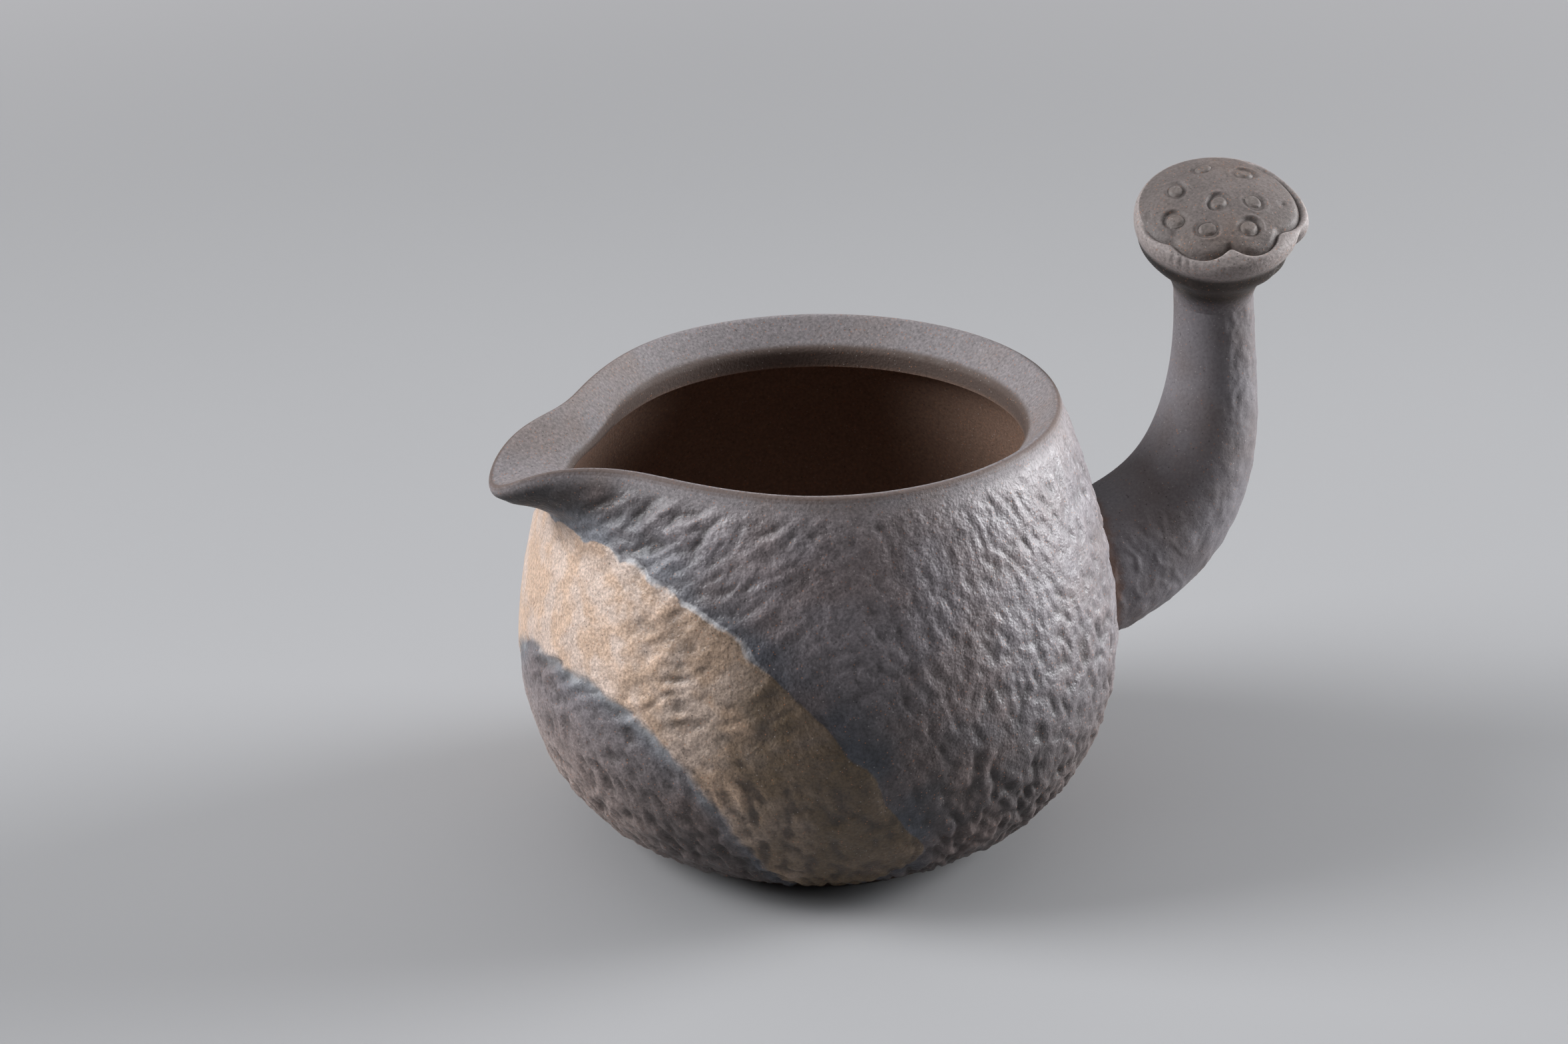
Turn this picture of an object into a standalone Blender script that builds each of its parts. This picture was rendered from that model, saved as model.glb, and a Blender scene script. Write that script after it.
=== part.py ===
"""A stoneware tea pitcher: a round body on a low foot, a rim collar bevelled inwards with a drawn
pouring lip, and an upright handle that ends in a lotus seed pod.

Each clay piece is one object, set 0.3 mm from the next, where the slip that lutes them would be.
Metres, +Z up. The origin is the middle of the foot's underside. The handle stands at +X and the
lip pours towards -X.
"""

import math

import bmesh
import bpy
from mathutils import Matrix, Vector

MM = 0.001
MERGE_DISTANCE = 0.00001
SMOOTH_ANGLE = math.radians(40)
ROUND_POINTS = 5

# Slip joint between two clay pieces
LUTE_GAP = 0.3 * MM

# Vessel wall: a quarter ellipse below the belly, a power curve from the belly to the rim
BELLY_RADIUS = 45.0 * MM
BELLY_HEIGHT = 29.5 * MM
BOWL_FLAT_RADIUS = 24.0 * MM
BOWL_SINK = 0.8 * MM
SHOULDER_POWER = 1.7
WALL = 4.0 * MM
WALL_STEPS = 64
BOWL_POINTS = 9
SHOULDER_POINTS = 5

# Foot disc, with the plug that closes the wall from below
FOOT_RADIUS = 27.3 * MM
FOOT_HEIGHT = 1.5 * MM
FOOT_ROUND = 0.5 * MM
PLUG_MARGIN = 4.0 * MM

# Rim collar: the mouth ring above the shoulder joint
RIM_RADIUS = 36.5 * MM
RIM_HEIGHT = 66.7 * MM
COLLAR_HEIGHT = 16.0 * MM
CREST_ROUND = 0.8 * MM
BEVEL_WIDTH = 3.5 * MM
BEVEL_ANGLE = math.radians(45)
MOUTH_ROUND = 1.5 * MM
MOUTH_LAND = 2.1 * MM
LEDGE_ROUND = 3.0 * MM
COLLAR_STEPS = 80
COLLAR_POINTS = 7
COLUMN_CROWDING = 0.5

# Pouring lip: the collar drawn out towards -X in a bell curve, and let down at its tip
LIP_REACH = 13.9 * MM
LIP_SPREAD = math.radians(10.4)
LIP_DROOP = 4.8 * MM
DROOP_SPREAD = math.radians(5.7)
LIP_FADE_POWER = 4
LIP_INNER_SHARE = 0.7
PINCH_DEPTH = 0.9 * MM
PINCH_BEARING = math.radians(44)
PINCH_SPREAD = math.radians(14)

# Handle stem: a cubic curve in the XZ plane, from the wall up to a neck that leans back a little
STEM_ROOT_HEIGHT = 32.3 * MM
STEM_ROOT_RADIUS = 10.9 * MM
STEM_ROOT_ANGLE = math.radians(19)
STEM_ROOT_PULL = 18.5 * MM
STEM_REACH = 19.8 * MM
STEM_RISE = 41.8 * MM
STEM_NECK_RADIUS = 6.05 * MM
STEM_NECK_PULL = 25.0 * MM
STEM_NECK_LEAN = math.radians(3)
STEM_EMBED = 12.0 * MM
STEM_STEPS = 22
STEM_SIDES_RESOLUTION = 7

# Seed pod: a funnel with a rolled, lobed rim, leaning from the stem's end
POD_LEAN = math.radians(20)
POD_LEAN_HEADING = math.radians(-110)
POD_RADIUS = 12.9 * MM
POD_HEIGHT = 16.8 * MM
POD_ROLL_WIDTH = 1.2 * MM
POD_ROLL_HEIGHT = 3.4 * MM
POD_ROLL_TURN = math.radians(100)
POD_NECK_PULL = 5.5 * MM
POD_RIM_PULL = 3.5 * MM
POD_FLARE_ANGLE = math.radians(50)
PETALS = 7
PETAL_DEPTH = 0.15 * MM
PETAL_FIRST_BEARING = math.radians(-73)
LOBE_REACH = 0.55 * MM
LOBE_BEARING = math.radians(-35)
LOBE_SPREAD = math.radians(15)
POD_STEPS = 56
ROLL_POINTS = 10
FUNNEL_POINTS = 7

# Domed face in the pod's rim, and the seeds in it. Each seed's place is a share of the seeds' reach
# from the middle of the face, and a bearing in degrees.
FACE_THICKNESS = 3.4 * MM
FACE_SET_DOWN = 0.3 * MM
FACE_DOME = 1.6 * MM
DOME_POINTS = 5
SEED_RADIUS = 1.6 * MM
SEED_HEIGHT = 1.9 * MM
SEED_CROWN = 0.8 * MM
SEED_PROUD = 0.35 * MM
SEED_EDGE_MARGIN = 0.5 * MM
SEED_STEPS = 12
SEED_PLACES = (
    (0.14, 236),
    (0.59, 331),
    (0.88, 36),
    (0.93, 83),
    (0.78, 138),
    (0.91, 190),
    (0.8, 231),
    (0.84, 283),
)

# Heights and radii that follow from the sizes above
JOINT_HEIGHT = FOOT_HEIGHT + LUTE_GAP
BOWL_BOTTOM = JOINT_HEIGHT - BOWL_SINK
FLOOR_TOP = BOWL_BOTTOM + WALL
PLUG_RADIUS = BOWL_FLAT_RADIUS - PLUG_MARGIN
CREST_HEIGHT = RIM_HEIGHT - CREST_ROUND
SEAM_HEIGHT = RIM_HEIGHT - COLLAR_HEIGHT
CREST_RADIUS = RIM_RADIUS - CREST_ROUND
BEVEL_TOP_RADIUS = CREST_RADIUS - CREST_ROUND * math.sin(BEVEL_ANGLE)
MOUTH_RADIUS = BEVEL_TOP_RADIUS - BEVEL_WIDTH - MOUTH_ROUND * (1 - math.sin(BEVEL_ANGLE))
STEM_TOP = STEM_ROOT_HEIGHT + STEM_RISE
STEM_NECK_REACH = BELLY_RADIUS + STEM_REACH
STEM_END = Vector((-math.sin(STEM_NECK_LEAN), 0.0, math.cos(STEM_NECK_LEAN)))
SOCKET_RADIUS = POD_RADIUS - POD_ROLL_WIDTH * (1 - math.cos(POD_ROLL_TURN))
SOCKET_FLOOR = POD_HEIGHT - FACE_SET_DOWN - FACE_THICKNESS
FACE_RADIUS = SOCKET_RADIUS - LUTE_GAP
SEED_REACH = FACE_RADIUS - PETAL_DEPTH - SEED_EDGE_MARGIN - SEED_RADIUS - LUTE_GAP


def fresh_collection(name):
    """An empty collection of that name, linked to the scene."""
    collection = bpy.data.collections.new(name)
    bpy.context.scene.collection.children.link(collection)
    return collection


def clay(name, colour, roughness):
    """A plain unglazed clay material."""
    material = bpy.data.materials.new(name)
    material.use_nodes = True
    shader = material.node_tree.nodes["Principled BSDF"]
    shader.inputs["Base Color"].default_value = (*colour, 1.0)
    shader.inputs["Roughness"].default_value = roughness
    shader.inputs["Metallic"].default_value = 0.0
    return material


def turned(name, profile, steps, collection, closed=False):
    """A profile of (radius, height) pairs that runs down its outer side, spun about Z."""
    count = len(profile)
    edges = [(i, (i + 1) % count) for i in range(count if closed else count - 1)]
    mesh = bpy.data.meshes.new(name)
    mesh.from_pydata([(radius, 0.0, height) for radius, height in profile], edges, [])
    piece = bpy.data.objects.new(name, mesh)
    screw = piece.modifiers.new("turn", "SCREW")
    screw.axis = "Z"
    screw.steps = steps
    screw.render_steps = steps
    screw.use_merge_vertices = True
    screw.merge_threshold = MERGE_DISTANCE
    collection.objects.link(piece)
    return piece


def realise(piece):
    """Makes the piece's modifiers part of its mesh, so that its points can be moved or cut."""
    graph = bpy.context.evaluated_depsgraph_get()
    mesh = bpy.data.meshes.new_from_object(piece.evaluated_get(graph))
    piece.modifiers.clear()
    piece.data = mesh
    return mesh


def finish(piece, material):
    """Gives the piece its clay and smooth shading."""
    piece.data.materials.append(material)
    piece.data.shade_smooth()
    piece.data.set_sharp_from_angle(angle=SMOOTH_ANGLE)


def as_cutter(piece):
    """Marks a guide solid that only cuts others."""
    piece.hide_render = True
    piece.display_type = "WIRE"


def cut(piece, cutter):
    """Takes the cutter out of the piece."""
    modifier = piece.modifiers.new("cut_" + cutter.name, "BOOLEAN")
    modifier.operation = "DIFFERENCE"
    modifier.object = cutter


def spread(low, high, count):
    """count values from low to high, both included."""
    return [low + (high - low) * i / (count - 1) for i in range(count)]


def arc(centre, radius, start, end, count):
    """count points of a circle arc in a profile, from angle start to angle end."""
    return [
        (centre[0] + radius * math.cos(a), centre[1] + radius * math.sin(a))
        for a in spread(start, end, count)
    ]


def bowl_point(inset, angle):
    """A point of the lower wall: angle 0 is the belly, a right angle is where it comes level."""
    width = BELLY_RADIUS - BOWL_FLAT_RADIUS - inset
    depth = BELLY_HEIGHT - BOWL_BOTTOM - inset
    return BOWL_FLAT_RADIUS + width * math.cos(angle), BELLY_HEIGHT - depth * math.sin(angle)


def shoulder_point(inset, height):
    """A point of the upper wall at a height from the belly to the rim's crest."""
    share = max(0.0, (height - BELLY_HEIGHT) / (CREST_HEIGHT - BELLY_HEIGHT))
    return BELLY_RADIUS - (BELLY_RADIUS - RIM_RADIUS) * share**SHOULDER_POWER - inset, height


def wall_curve(inset, top, bottom):
    """Points down the wall, from a height on the shoulder to a height in the bowl."""
    depth = BELLY_HEIGHT - BOWL_BOTTOM - inset
    last_angle = math.asin(min(1.0, (BELLY_HEIGHT - bottom) / depth))
    shoulder = [shoulder_point(inset, z) for z in spread(top, BELLY_HEIGHT, SHOULDER_POINTS)]
    return shoulder + [bowl_point(inset, a) for a in spread(0.0, last_angle, BOWL_POINTS)][1:]


def foot():
    """The floor disc: a plug in the wall's opening, on a wider foot with a rounded edge."""
    edge = (FOOT_RADIUS - FOOT_ROUND, FOOT_ROUND)
    profile = [
        (0.0, FLOOR_TOP),
        (PLUG_RADIUS, FLOOR_TOP),
        (PLUG_RADIUS, FOOT_HEIGHT),
        (FOOT_RADIUS, FOOT_HEIGHT),
        *arc(edge, FOOT_ROUND, 0.0, -math.pi / 2, ROUND_POINTS),
        (0.0, 0.0),
    ]
    return turned("foot", profile, WALL_STEPS, PARTS)


def vessel_wall():
    """The turned wall, from the foot's joint up to the shoulder's joint."""
    inner = wall_curve(WALL, SEAM_HEIGHT, FLOOR_TOP)
    opening = PLUG_RADIUS + LUTE_GAP
    profile = [
        *wall_curve(0.0, SEAM_HEIGHT, JOINT_HEIGHT),
        (opening, JOINT_HEIGHT),
        (opening, FLOOR_TOP),
        *reversed(inner),
    ]
    return turned("vessel_wall", profile, WALL_STEPS, PARTS, closed=True)


def collar_profile():
    """The mouth ring's section: outer wall, inner wall, ledge, land, bevel and crest."""
    foot_height = SEAM_HEIGHT + LUTE_GAP
    outer = [shoulder_point(0.0, z) for z in spread(CREST_HEIGHT, foot_height, COLLAR_POINTS)]
    bevel_turn = math.pi / 2 + BEVEL_ANGLE
    crest_arc = arc((CREST_RADIUS, CREST_HEIGHT), CREST_ROUND, bevel_turn, 0.0, ROUND_POINTS)
    bevel_foot = crest_arc[0][1] - BEVEL_WIDTH * math.tan(BEVEL_ANGLE)
    mouth_height = bevel_foot - MOUTH_ROUND * math.cos(BEVEL_ANGLE)
    mouth_centre = (MOUTH_RADIUS + MOUTH_ROUND, mouth_height)
    mouth_arc = arc(mouth_centre, MOUTH_ROUND, math.pi, bevel_turn, ROUND_POINTS)
    ledge_height = mouth_height - MOUTH_LAND
    ledge_wall = shoulder_point(WALL, ledge_height - LEDGE_ROUND)
    ledge_centre = (ledge_wall[0] - LEDGE_ROUND, ledge_wall[1])
    return [
        *outer,
        shoulder_point(WALL, foot_height),
        *arc(ledge_centre, LEDGE_ROUND, 0.0, math.pi / 2, ROUND_POINTS),
        (MOUTH_RADIUS, ledge_height),
        *mouth_arc,
        *crest_arc[:-1],
    ]


def bell(value, width):
    """A bell curve of height 1, as wide as the given standard deviation."""
    return math.exp(-0.5 * (value / width) ** 2)


def draw_lip(point):
    """Where a point of the plain ring goes when the lip is drawn out of it.

    The pull is a bell curve of the bearing from -X, full at the crest and fading to nothing at the
    collar's foot, with a shallow pinch on either side of it. Columns of points crowd towards the lip.
    """
    radius = math.hypot(point.x, point.y)
    bearing = math.atan2(point.y, -point.x)
    bearing -= COLUMN_CROWDING * math.sin(bearing)
    depth = (RIM_HEIGHT - point.z) / COLLAR_HEIGHT
    fade = max(0.0, 1.0 - depth * depth) ** LIP_FADE_POWER
    across = (radius - MOUTH_RADIUS) / (CREST_RADIUS - MOUTH_RADIUS)
    across = min(1.0, max(0.0, across))
    share = LIP_INNER_SHARE + (1.0 - LIP_INNER_SHARE) * across
    radius += LIP_REACH * fade * share * bell(bearing, LIP_SPREAD)
    radius -= PINCH_DEPTH * fade * bell(abs(bearing) - PINCH_BEARING, PINCH_SPREAD)
    drop = LIP_DROOP * fade * across * bell(bearing, DROOP_SPREAD)
    return Vector((-radius * math.cos(bearing), radius * math.sin(bearing), point.z - drop))


def rim_collar():
    """The mouth ring, turned and then drawn out into the pouring lip."""
    piece = turned("rim_collar", collar_profile(), COLLAR_STEPS, PARTS, closed=True)
    for vertex in realise(piece).vertices:
        vertex.co = draw_lip(vertex.co)
    return piece


def cubic(handles, count):
    """count points along the cubic curve with those four handles."""
    points = []
    for t in spread(0.0, 1.0, count):
        weights = ((1 - t) ** 3, 3 * t * (1 - t) ** 2, 3 * t * t * (1 - t), t**3)
        points.append(sum((h * w for h, w in zip(handles, weights)), Vector((0.0, 0.0))))
    return points


def handle_stem(wall_envelope):
    """The bent stem, cut to the wall at its root. Its taper is a cosine, slow at both ends."""
    root = Vector((BELLY_RADIUS, STEM_ROOT_HEIGHT))
    away = Vector((math.cos(STEM_ROOT_ANGLE), math.sin(STEM_ROOT_ANGLE)))
    neck = Vector((STEM_NECK_REACH, STEM_TOP))
    upward = Vector((STEM_END.x, STEM_END.z))
    handles = (root, root + away * STEM_ROOT_PULL, neck - upward * STEM_NECK_PULL, neck)
    line = cubic(handles, STEM_STEPS)
    inward = away * STEM_EMBED
    lengths = [0.0]
    for before, after in zip(line, line[1:]):
        lengths.append(lengths[-1] + (after - before).length)
    curve = bpy.data.curves.new("stem_line", "CURVE")
    curve.dimensions = "3D"
    curve.bevel_depth = 1.0
    curve.bevel_resolution = STEM_SIDES_RESOLUTION
    curve.use_fill_caps = True
    spline = curve.splines.new("POLY")
    spline.points.add(STEM_STEPS)
    points = [line[0] - inward, *line]
    shares = [0.0, *(length / lengths[-1] for length in lengths)]
    for knot, place, share in zip(spline.points, points, shares):
        taper = (1.0 + math.cos(math.pi * share)) / 2
        knot.co = (place.x, 0.0, place.y, 1.0)
        knot.radius = STEM_NECK_RADIUS + (STEM_ROOT_RADIUS - STEM_NECK_RADIUS) * taper
    guide = bpy.data.objects.new("stem_line", curve)
    PARTS.objects.link(guide)
    graph = bpy.context.evaluated_depsgraph_get()
    mesh = bpy.data.meshes.new_from_object(guide.evaluated_get(graph))
    bpy.data.objects.remove(guide)
    form = bmesh.new()
    form.from_mesh(mesh)
    bmesh.ops.remove_doubles(form, verts=form.verts, dist=MERGE_DISTANCE)
    bmesh.ops.recalc_face_normals(form, faces=form.faces)
    form.to_mesh(mesh)
    form.free()
    piece = bpy.data.objects.new("handle_stem", mesh)
    PARTS.objects.link(piece)
    cut(piece, wall_envelope)
    return piece


def wall_envelope():
    """The vessel's outer shape grown by the slip joint, as a solid that saddles the stem's root."""
    curve = [(r + LUTE_GAP, z) for r, z in wall_curve(0.0, CREST_HEIGHT, JOINT_HEIGHT)]
    profile = [(0.0, CREST_HEIGHT), *curve, (0.0, JOINT_HEIGHT)]
    piece = turned("wall_envelope", profile, WALL_STEPS, CUTTERS)
    as_cutter(piece)
    return piece


def pod_seat():
    """The empty that the pod's pieces hang on: at the stem's end, leaning."""
    seat = bpy.data.objects.new("pod_seat", None)
    PARTS.objects.link(seat)
    heading = Matrix.Rotation(POD_LEAN_HEADING, 4, "Z")
    lean = Matrix.Rotation(POD_LEAN, 4, "Y")
    neck = Vector((STEM_NECK_REACH, 0.0, STEM_TOP))
    place = Matrix.Translation(neck + STEM_END * LUTE_GAP)
    seat.matrix_world = place @ heading @ lean @ heading.inverted()
    return seat


def petal_wave(point):
    """Moves a pod's point in or out with the rim's lobes, from nothing at the neck to full at the rim.

    The lobes are a cosine round the rim, and one of them is drawn out further in a bell curve.
    """
    share = min(1.0, max(0.0, point.z / (POD_HEIGHT - POD_ROLL_HEIGHT)))
    bearing = math.atan2(point.y, point.x)
    wave = PETAL_DEPTH * math.cos(PETALS * (bearing - PETAL_FIRST_BEARING))
    swell = share * share * (wave + LOBE_REACH * bell(bearing - LOBE_BEARING, LOBE_SPREAD))
    flat = Vector((point.x, point.y, 0.0))
    return point + flat.normalized() * swell if flat.length > MERGE_DISTANCE else point


def pod_cup(seat):
    """The funnel: a flaring neck, a rolled rim, and a flat-bottomed recess for the face.

    It is turned with a skirt below the joint, which is then sliced off square to the stem's end.
    """
    roll_centre = (POD_RADIUS - POD_ROLL_WIDTH, POD_HEIGHT - POD_ROLL_HEIGHT)
    roll = [
        (roll_centre[0] + POD_ROLL_WIDTH * x, roll_centre[1] + POD_ROLL_HEIGHT * y)
        for x, y in arc((0.0, 0.0), 1.0, POD_ROLL_TURN, -POD_FLARE_ANGLE, ROLL_POINTS)
    ]
    skirt = STEM_NECK_RADIUS
    neck = Vector((STEM_NECK_RADIUS, 0.0))
    rim = Vector(roll[-1])
    flare = Vector((math.sin(POD_FLARE_ANGLE), math.cos(POD_FLARE_ANGLE)))
    handles = (rim, rim - flare * POD_RIM_PULL, neck + Vector((0.0, POD_NECK_PULL)), neck)
    profile = [
        (0.0, SOCKET_FLOOR),
        (SOCKET_RADIUS, SOCKET_FLOOR),
        *roll,
        *((p.x, p.y) for p in cubic(handles, FUNNEL_POINTS)[1:]),
        (STEM_NECK_RADIUS, -skirt),
        (0.0, -skirt),
    ]
    piece = turned("pod_cup", profile, POD_STEPS, PARTS)
    mesh = realise(piece)
    for vertex in mesh.vertices:
        vertex.co = petal_wave(vertex.co)
    joint = seat.matrix_world.to_3x3().inverted() @ STEM_END
    form = bmesh.new()
    form.from_mesh(mesh)
    geometry = form.verts[:] + form.edges[:] + form.faces[:]
    sliced = bmesh.ops.bisect_plane(
        form, geom=geometry, plane_co=(0, 0, 0), plane_no=joint, clear_inner=True
    )
    rim_edges = [e for e in sliced["geom_cut"] if isinstance(e, bmesh.types.BMEdge)]
    bmesh.ops.edgeloop_fill(form, edges=rim_edges)
    bmesh.ops.recalc_face_normals(form, faces=form.faces)
    form.to_mesh(mesh)
    form.free()
    piece.parent = seat
    return piece


def face_height(radius):
    """The domed face's height above the pod's base, at a radius."""
    return POD_HEIGHT - FACE_SET_DOWN + FACE_DOME * (1.0 - (radius / FACE_RADIUS) ** 2)


def seed_places():
    """Where each seed stands on the face, as (x, y) pairs."""
    places = []
    for share, degrees in SEED_PLACES:
        bearing = math.radians(degrees)
        distance = share * SEED_REACH
        places.append((distance * math.cos(bearing), distance * math.sin(bearing)))
    return places


def pod_face(seat):
    """The domed disc in the pod's recess, with a socket for each seed."""
    bottom = SOCKET_FLOOR + LUTE_GAP
    dome = [(r, face_height(r)) for r in spread(0.0, FACE_RADIUS, DOME_POINTS)]
    profile = [*dome, (FACE_RADIUS, bottom), (0.0, bottom)]
    piece = turned("pod_face", profile, POD_STEPS, PARTS)
    for vertex in realise(piece).vertices:
        vertex.co = petal_wave(vertex.co)
    piece.parent = seat
    for number, (x, y) in enumerate(seed_places(), 1):
        floor = face_height(math.hypot(x, y)) + SEED_PROUD - SEED_HEIGHT - LUTE_GAP
        above = face_height(0.0) + SEED_HEIGHT
        radius = SEED_RADIUS + LUTE_GAP
        profile = [(0.0, above), (radius, above), (radius, floor), (0.0, floor)]
        socket = turned("seed_socket_%d" % number, profile, SEED_STEPS, CUTTERS)
        socket.location = (x, y, 0.0)
        socket.parent = seat
        as_cutter(socket)
        cut(piece, socket)
    return piece


def seeds(seat):
    """Round-topped pellets, each standing a little proud of the face."""
    pellets = []
    for number, (x, y) in enumerate(seed_places(), 1):
        top = face_height(math.hypot(x, y)) + SEED_PROUD
        base = top - SEED_HEIGHT
        crown = [
            (SEED_RADIUS * math.sin(a), top - SEED_CROWN * (1.0 - math.cos(a)))
            for a in spread(0.0, math.pi / 2, ROUND_POINTS)
        ]
        profile = [*crown, (SEED_RADIUS, base), (0.0, base)]
        pellet = turned("seed_%d" % number, profile, SEED_STEPS, PARTS)
        pellet.location = (x, y, 0.0)
        pellet.parent = seat
        pellets.append(pellet)
    return pellets


for old in list(bpy.data.objects):
    bpy.data.objects.remove(old)
PARTS = fresh_collection("tea_pitcher")
CUTTERS = fresh_collection("cutters")

finish(foot(), clay("foot_clay", (0.075, 0.062, 0.055), 0.8))
finish(vessel_wall(), clay("wall_clay", (0.135, 0.12, 0.122), 0.78))
finish(rim_collar(), clay("rim_clay", (0.13, 0.115, 0.11), 0.75))
finish(handle_stem(wall_envelope()), clay("stem_clay", (0.14, 0.13, 0.135), 0.72))

pod = pod_seat()
finish(pod_cup(pod), clay("pod_clay", (0.115, 0.1, 0.095), 0.75))
finish(pod_face(pod), clay("face_clay", (0.13, 0.11, 0.1), 0.75))
seed_clay = clay("seed_clay", (0.14, 0.12, 0.108), 0.72)
for seed in seeds(pod):
    finish(seed, seed_clay)
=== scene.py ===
"""The tea pitcher's finished look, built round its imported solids.

Each clay piece gets its fired surface: the hammered wall with its band of tan slip, the grainy rim
and drawn lip, the bark-like stem, and the lotus pod with its seeds. Metres, +Z up, the handle at +X.
"""

import bpy
import numpy as np
from mathutils import Matrix, Vector


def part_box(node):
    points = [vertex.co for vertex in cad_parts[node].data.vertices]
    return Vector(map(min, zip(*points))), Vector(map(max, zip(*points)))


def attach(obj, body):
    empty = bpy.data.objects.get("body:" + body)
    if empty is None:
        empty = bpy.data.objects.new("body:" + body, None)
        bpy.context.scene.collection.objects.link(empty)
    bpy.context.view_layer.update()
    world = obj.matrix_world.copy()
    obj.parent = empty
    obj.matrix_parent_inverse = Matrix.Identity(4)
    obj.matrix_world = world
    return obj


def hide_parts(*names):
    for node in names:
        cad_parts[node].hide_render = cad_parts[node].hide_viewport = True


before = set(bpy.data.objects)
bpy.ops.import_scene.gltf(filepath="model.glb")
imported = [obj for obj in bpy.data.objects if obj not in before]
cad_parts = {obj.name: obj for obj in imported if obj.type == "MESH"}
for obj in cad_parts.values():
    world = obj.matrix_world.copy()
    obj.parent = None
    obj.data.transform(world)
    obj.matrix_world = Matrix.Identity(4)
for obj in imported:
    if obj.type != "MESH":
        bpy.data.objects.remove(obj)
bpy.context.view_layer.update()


# Foot
# A thin disc of the same dark clay, turned smooth on the wheel and luted under the bowl with slip.
# It is all that touches the table, and it shows as a narrow brown ring below the hammered wall.

MM = 0.001
FOOT_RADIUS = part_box("foot")[1].x
FOOT_TOP = 1.7 * MM
FOOT_ROUND = 0.55 * MM
FOOT_INNER = 0.5 * FOOT_RADIUS
FOOT_SIDE = 0.7 * FOOT_TOP
FOOT_COLUMNS = 240
FOOT_EDGE_ROWS = 7
FOOT_SHARP = 50


def srgb(*display):
    """The linear colour of a display colour given in steps of 0 to 255."""
    value = np.array(display) / 255
    linear = np.where(value <= 0.04045, value / 12.92, ((value + 0.055) / 1.055) ** 2.4)
    return (*linear.tolist(), 1.0)


def full_turn(columns, start=0.0):
    """Bearings once round the axis, as one row."""
    return np.linspace(start, start + 2 * np.pi, columns, endpoint=False)[None, :]


def on_axis(bearing, radius, height):
    """Points at a bearing, a distance from the Z axis and a height; a column of these is turned round."""
    parts = np.broadcast_arrays(radius * np.cos(bearing), radius * np.sin(bearing), height)
    return np.stack(parts, axis=-1)


def ring_skin(name, rows, start=None, end=None, looped=False):
    """A mesh from rows of points that each close on themselves.

    Neighbouring rows are joined by quads. A pole closes the first or last row with a fan, and a looped
    skin joins its last row to its first. Rows run so that bearing times row direction points outwards.
    """
    count, columns = rows.shape[:2]
    index = np.arange(count * columns).reshape(count, columns)
    low, high = (index, np.roll(index, -1, 0)) if looped else (index[:-1], index[1:])
    quads = np.stack([low, np.roll(low, -1, 1), np.roll(high, -1, 1), high], axis=-1)
    faces = quads.reshape(-1, 4).tolist()
    points = rows.reshape(-1, 3).tolist()
    for pole, ring in ((start, index[0, ::-1]), (end, index[-1])):
        if pole is not None:
            centre = np.full(columns, len(points))
            faces += np.stack([ring, np.roll(ring, -1), centre], axis=-1).tolist()
            points.append(tuple(pole))
    mesh = bpy.data.meshes.new(name)
    mesh.from_pydata(points, [], faces)
    mesh.shade_smooth()
    return mesh


def mark(mesh, **values):
    """Stores a number for each point of the rows, for the material; the poles get the last one."""
    for name, value in values.items():
        flat = np.ravel(value).astype(np.float32)
        full = np.full(len(mesh.vertices), flat[-1], np.float32)
        full[: flat.size] = flat
        mesh.attributes.new(name, "FLOAT", "POINT").data.foreach_set("value", full)


def add_piece(name, mesh, material):
    """An object at the origin that shows the mesh in that material."""
    piece = bpy.data.objects.new(name, mesh)
    mesh.materials.append(material)
    bpy.context.scene.collection.objects.link(piece)
    return piece


def clay_piece(name, clay, rows, start=None, end=None, looped=False, sharp=70, **marks):
    """A piece from rows of points, with its marks; edges bent by more than sharp degrees stay crisp."""
    mesh = ring_skin(name, rows, start, end, looped)
    mark(mesh, **marks)
    mesh.set_sharp_from_angle(angle=np.radians(sharp))
    return add_piece(name, mesh, clay)


def put(tree, kind, inputs=None, **settings):
    """Adds a node; a socket given for an input is linked to it, and anything else is its value."""
    node = tree.nodes.new("ShaderNode" + kind)
    for key, value in settings.items():
        setattr(node, key, value)
    for key, value in (inputs or {}).items():
        if isinstance(value, bpy.types.NodeSocket):
            tree.links.new(value, node.inputs[key])
        else:
            node.inputs[key].default_value = value
    return node


def place_of(tree):
    """Where a point lies on its piece, in metres."""
    return put(tree, "TexCoord").outputs["Object"]


def told_by(tree, name):
    """What the mark of that name says of a point."""
    return put(tree, "Attribute", attribute_name=name).outputs["Fac"]


def blend(amount, first, second):
    """Mixes two colours by an amount from 0 to 1; a Mix node's sockets for colours are 6, 7 and 2."""
    return put(amount.id_data, "Mix", {0: amount, 6: first, 7: second}, data_type="RGBA").outputs[2]


def ramp(value, low, high, first=0.0, second=1.0):
    """Runs smoothly from first to second as the value goes from low to high."""
    inputs = {"Value": value, "From Min": low, "From Max": high, "To Min": first, "To Max": second}
    return put(value.id_data, "MapRange", inputs, interpolation_type="SMOOTHSTEP").outputs[0]


def sums(operation, first, second):
    """One step of arithmetic on two values."""
    return put(first.id_data, "Math", {0: first, 1: second}, operation=operation).outputs[0]


def product(first, *others):
    """Values multiplied together."""
    for other in others:
        first = sums("MULTIPLY", first, other)
    return first


def coated(colour, *coats):
    """A colour under coats, each given as its colour, its strength and the masks that show it."""
    for coat, strength, *masks in coats:
        colour = blend(product(*masks, strength), colour, coat)
    return colour


def dimmed(colour, tone):
    """A colour times a tone."""
    return put(tone.id_data, "VectorMath", {0: colour, "Scale": tone}, operation="SCALE").outputs[0]


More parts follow.
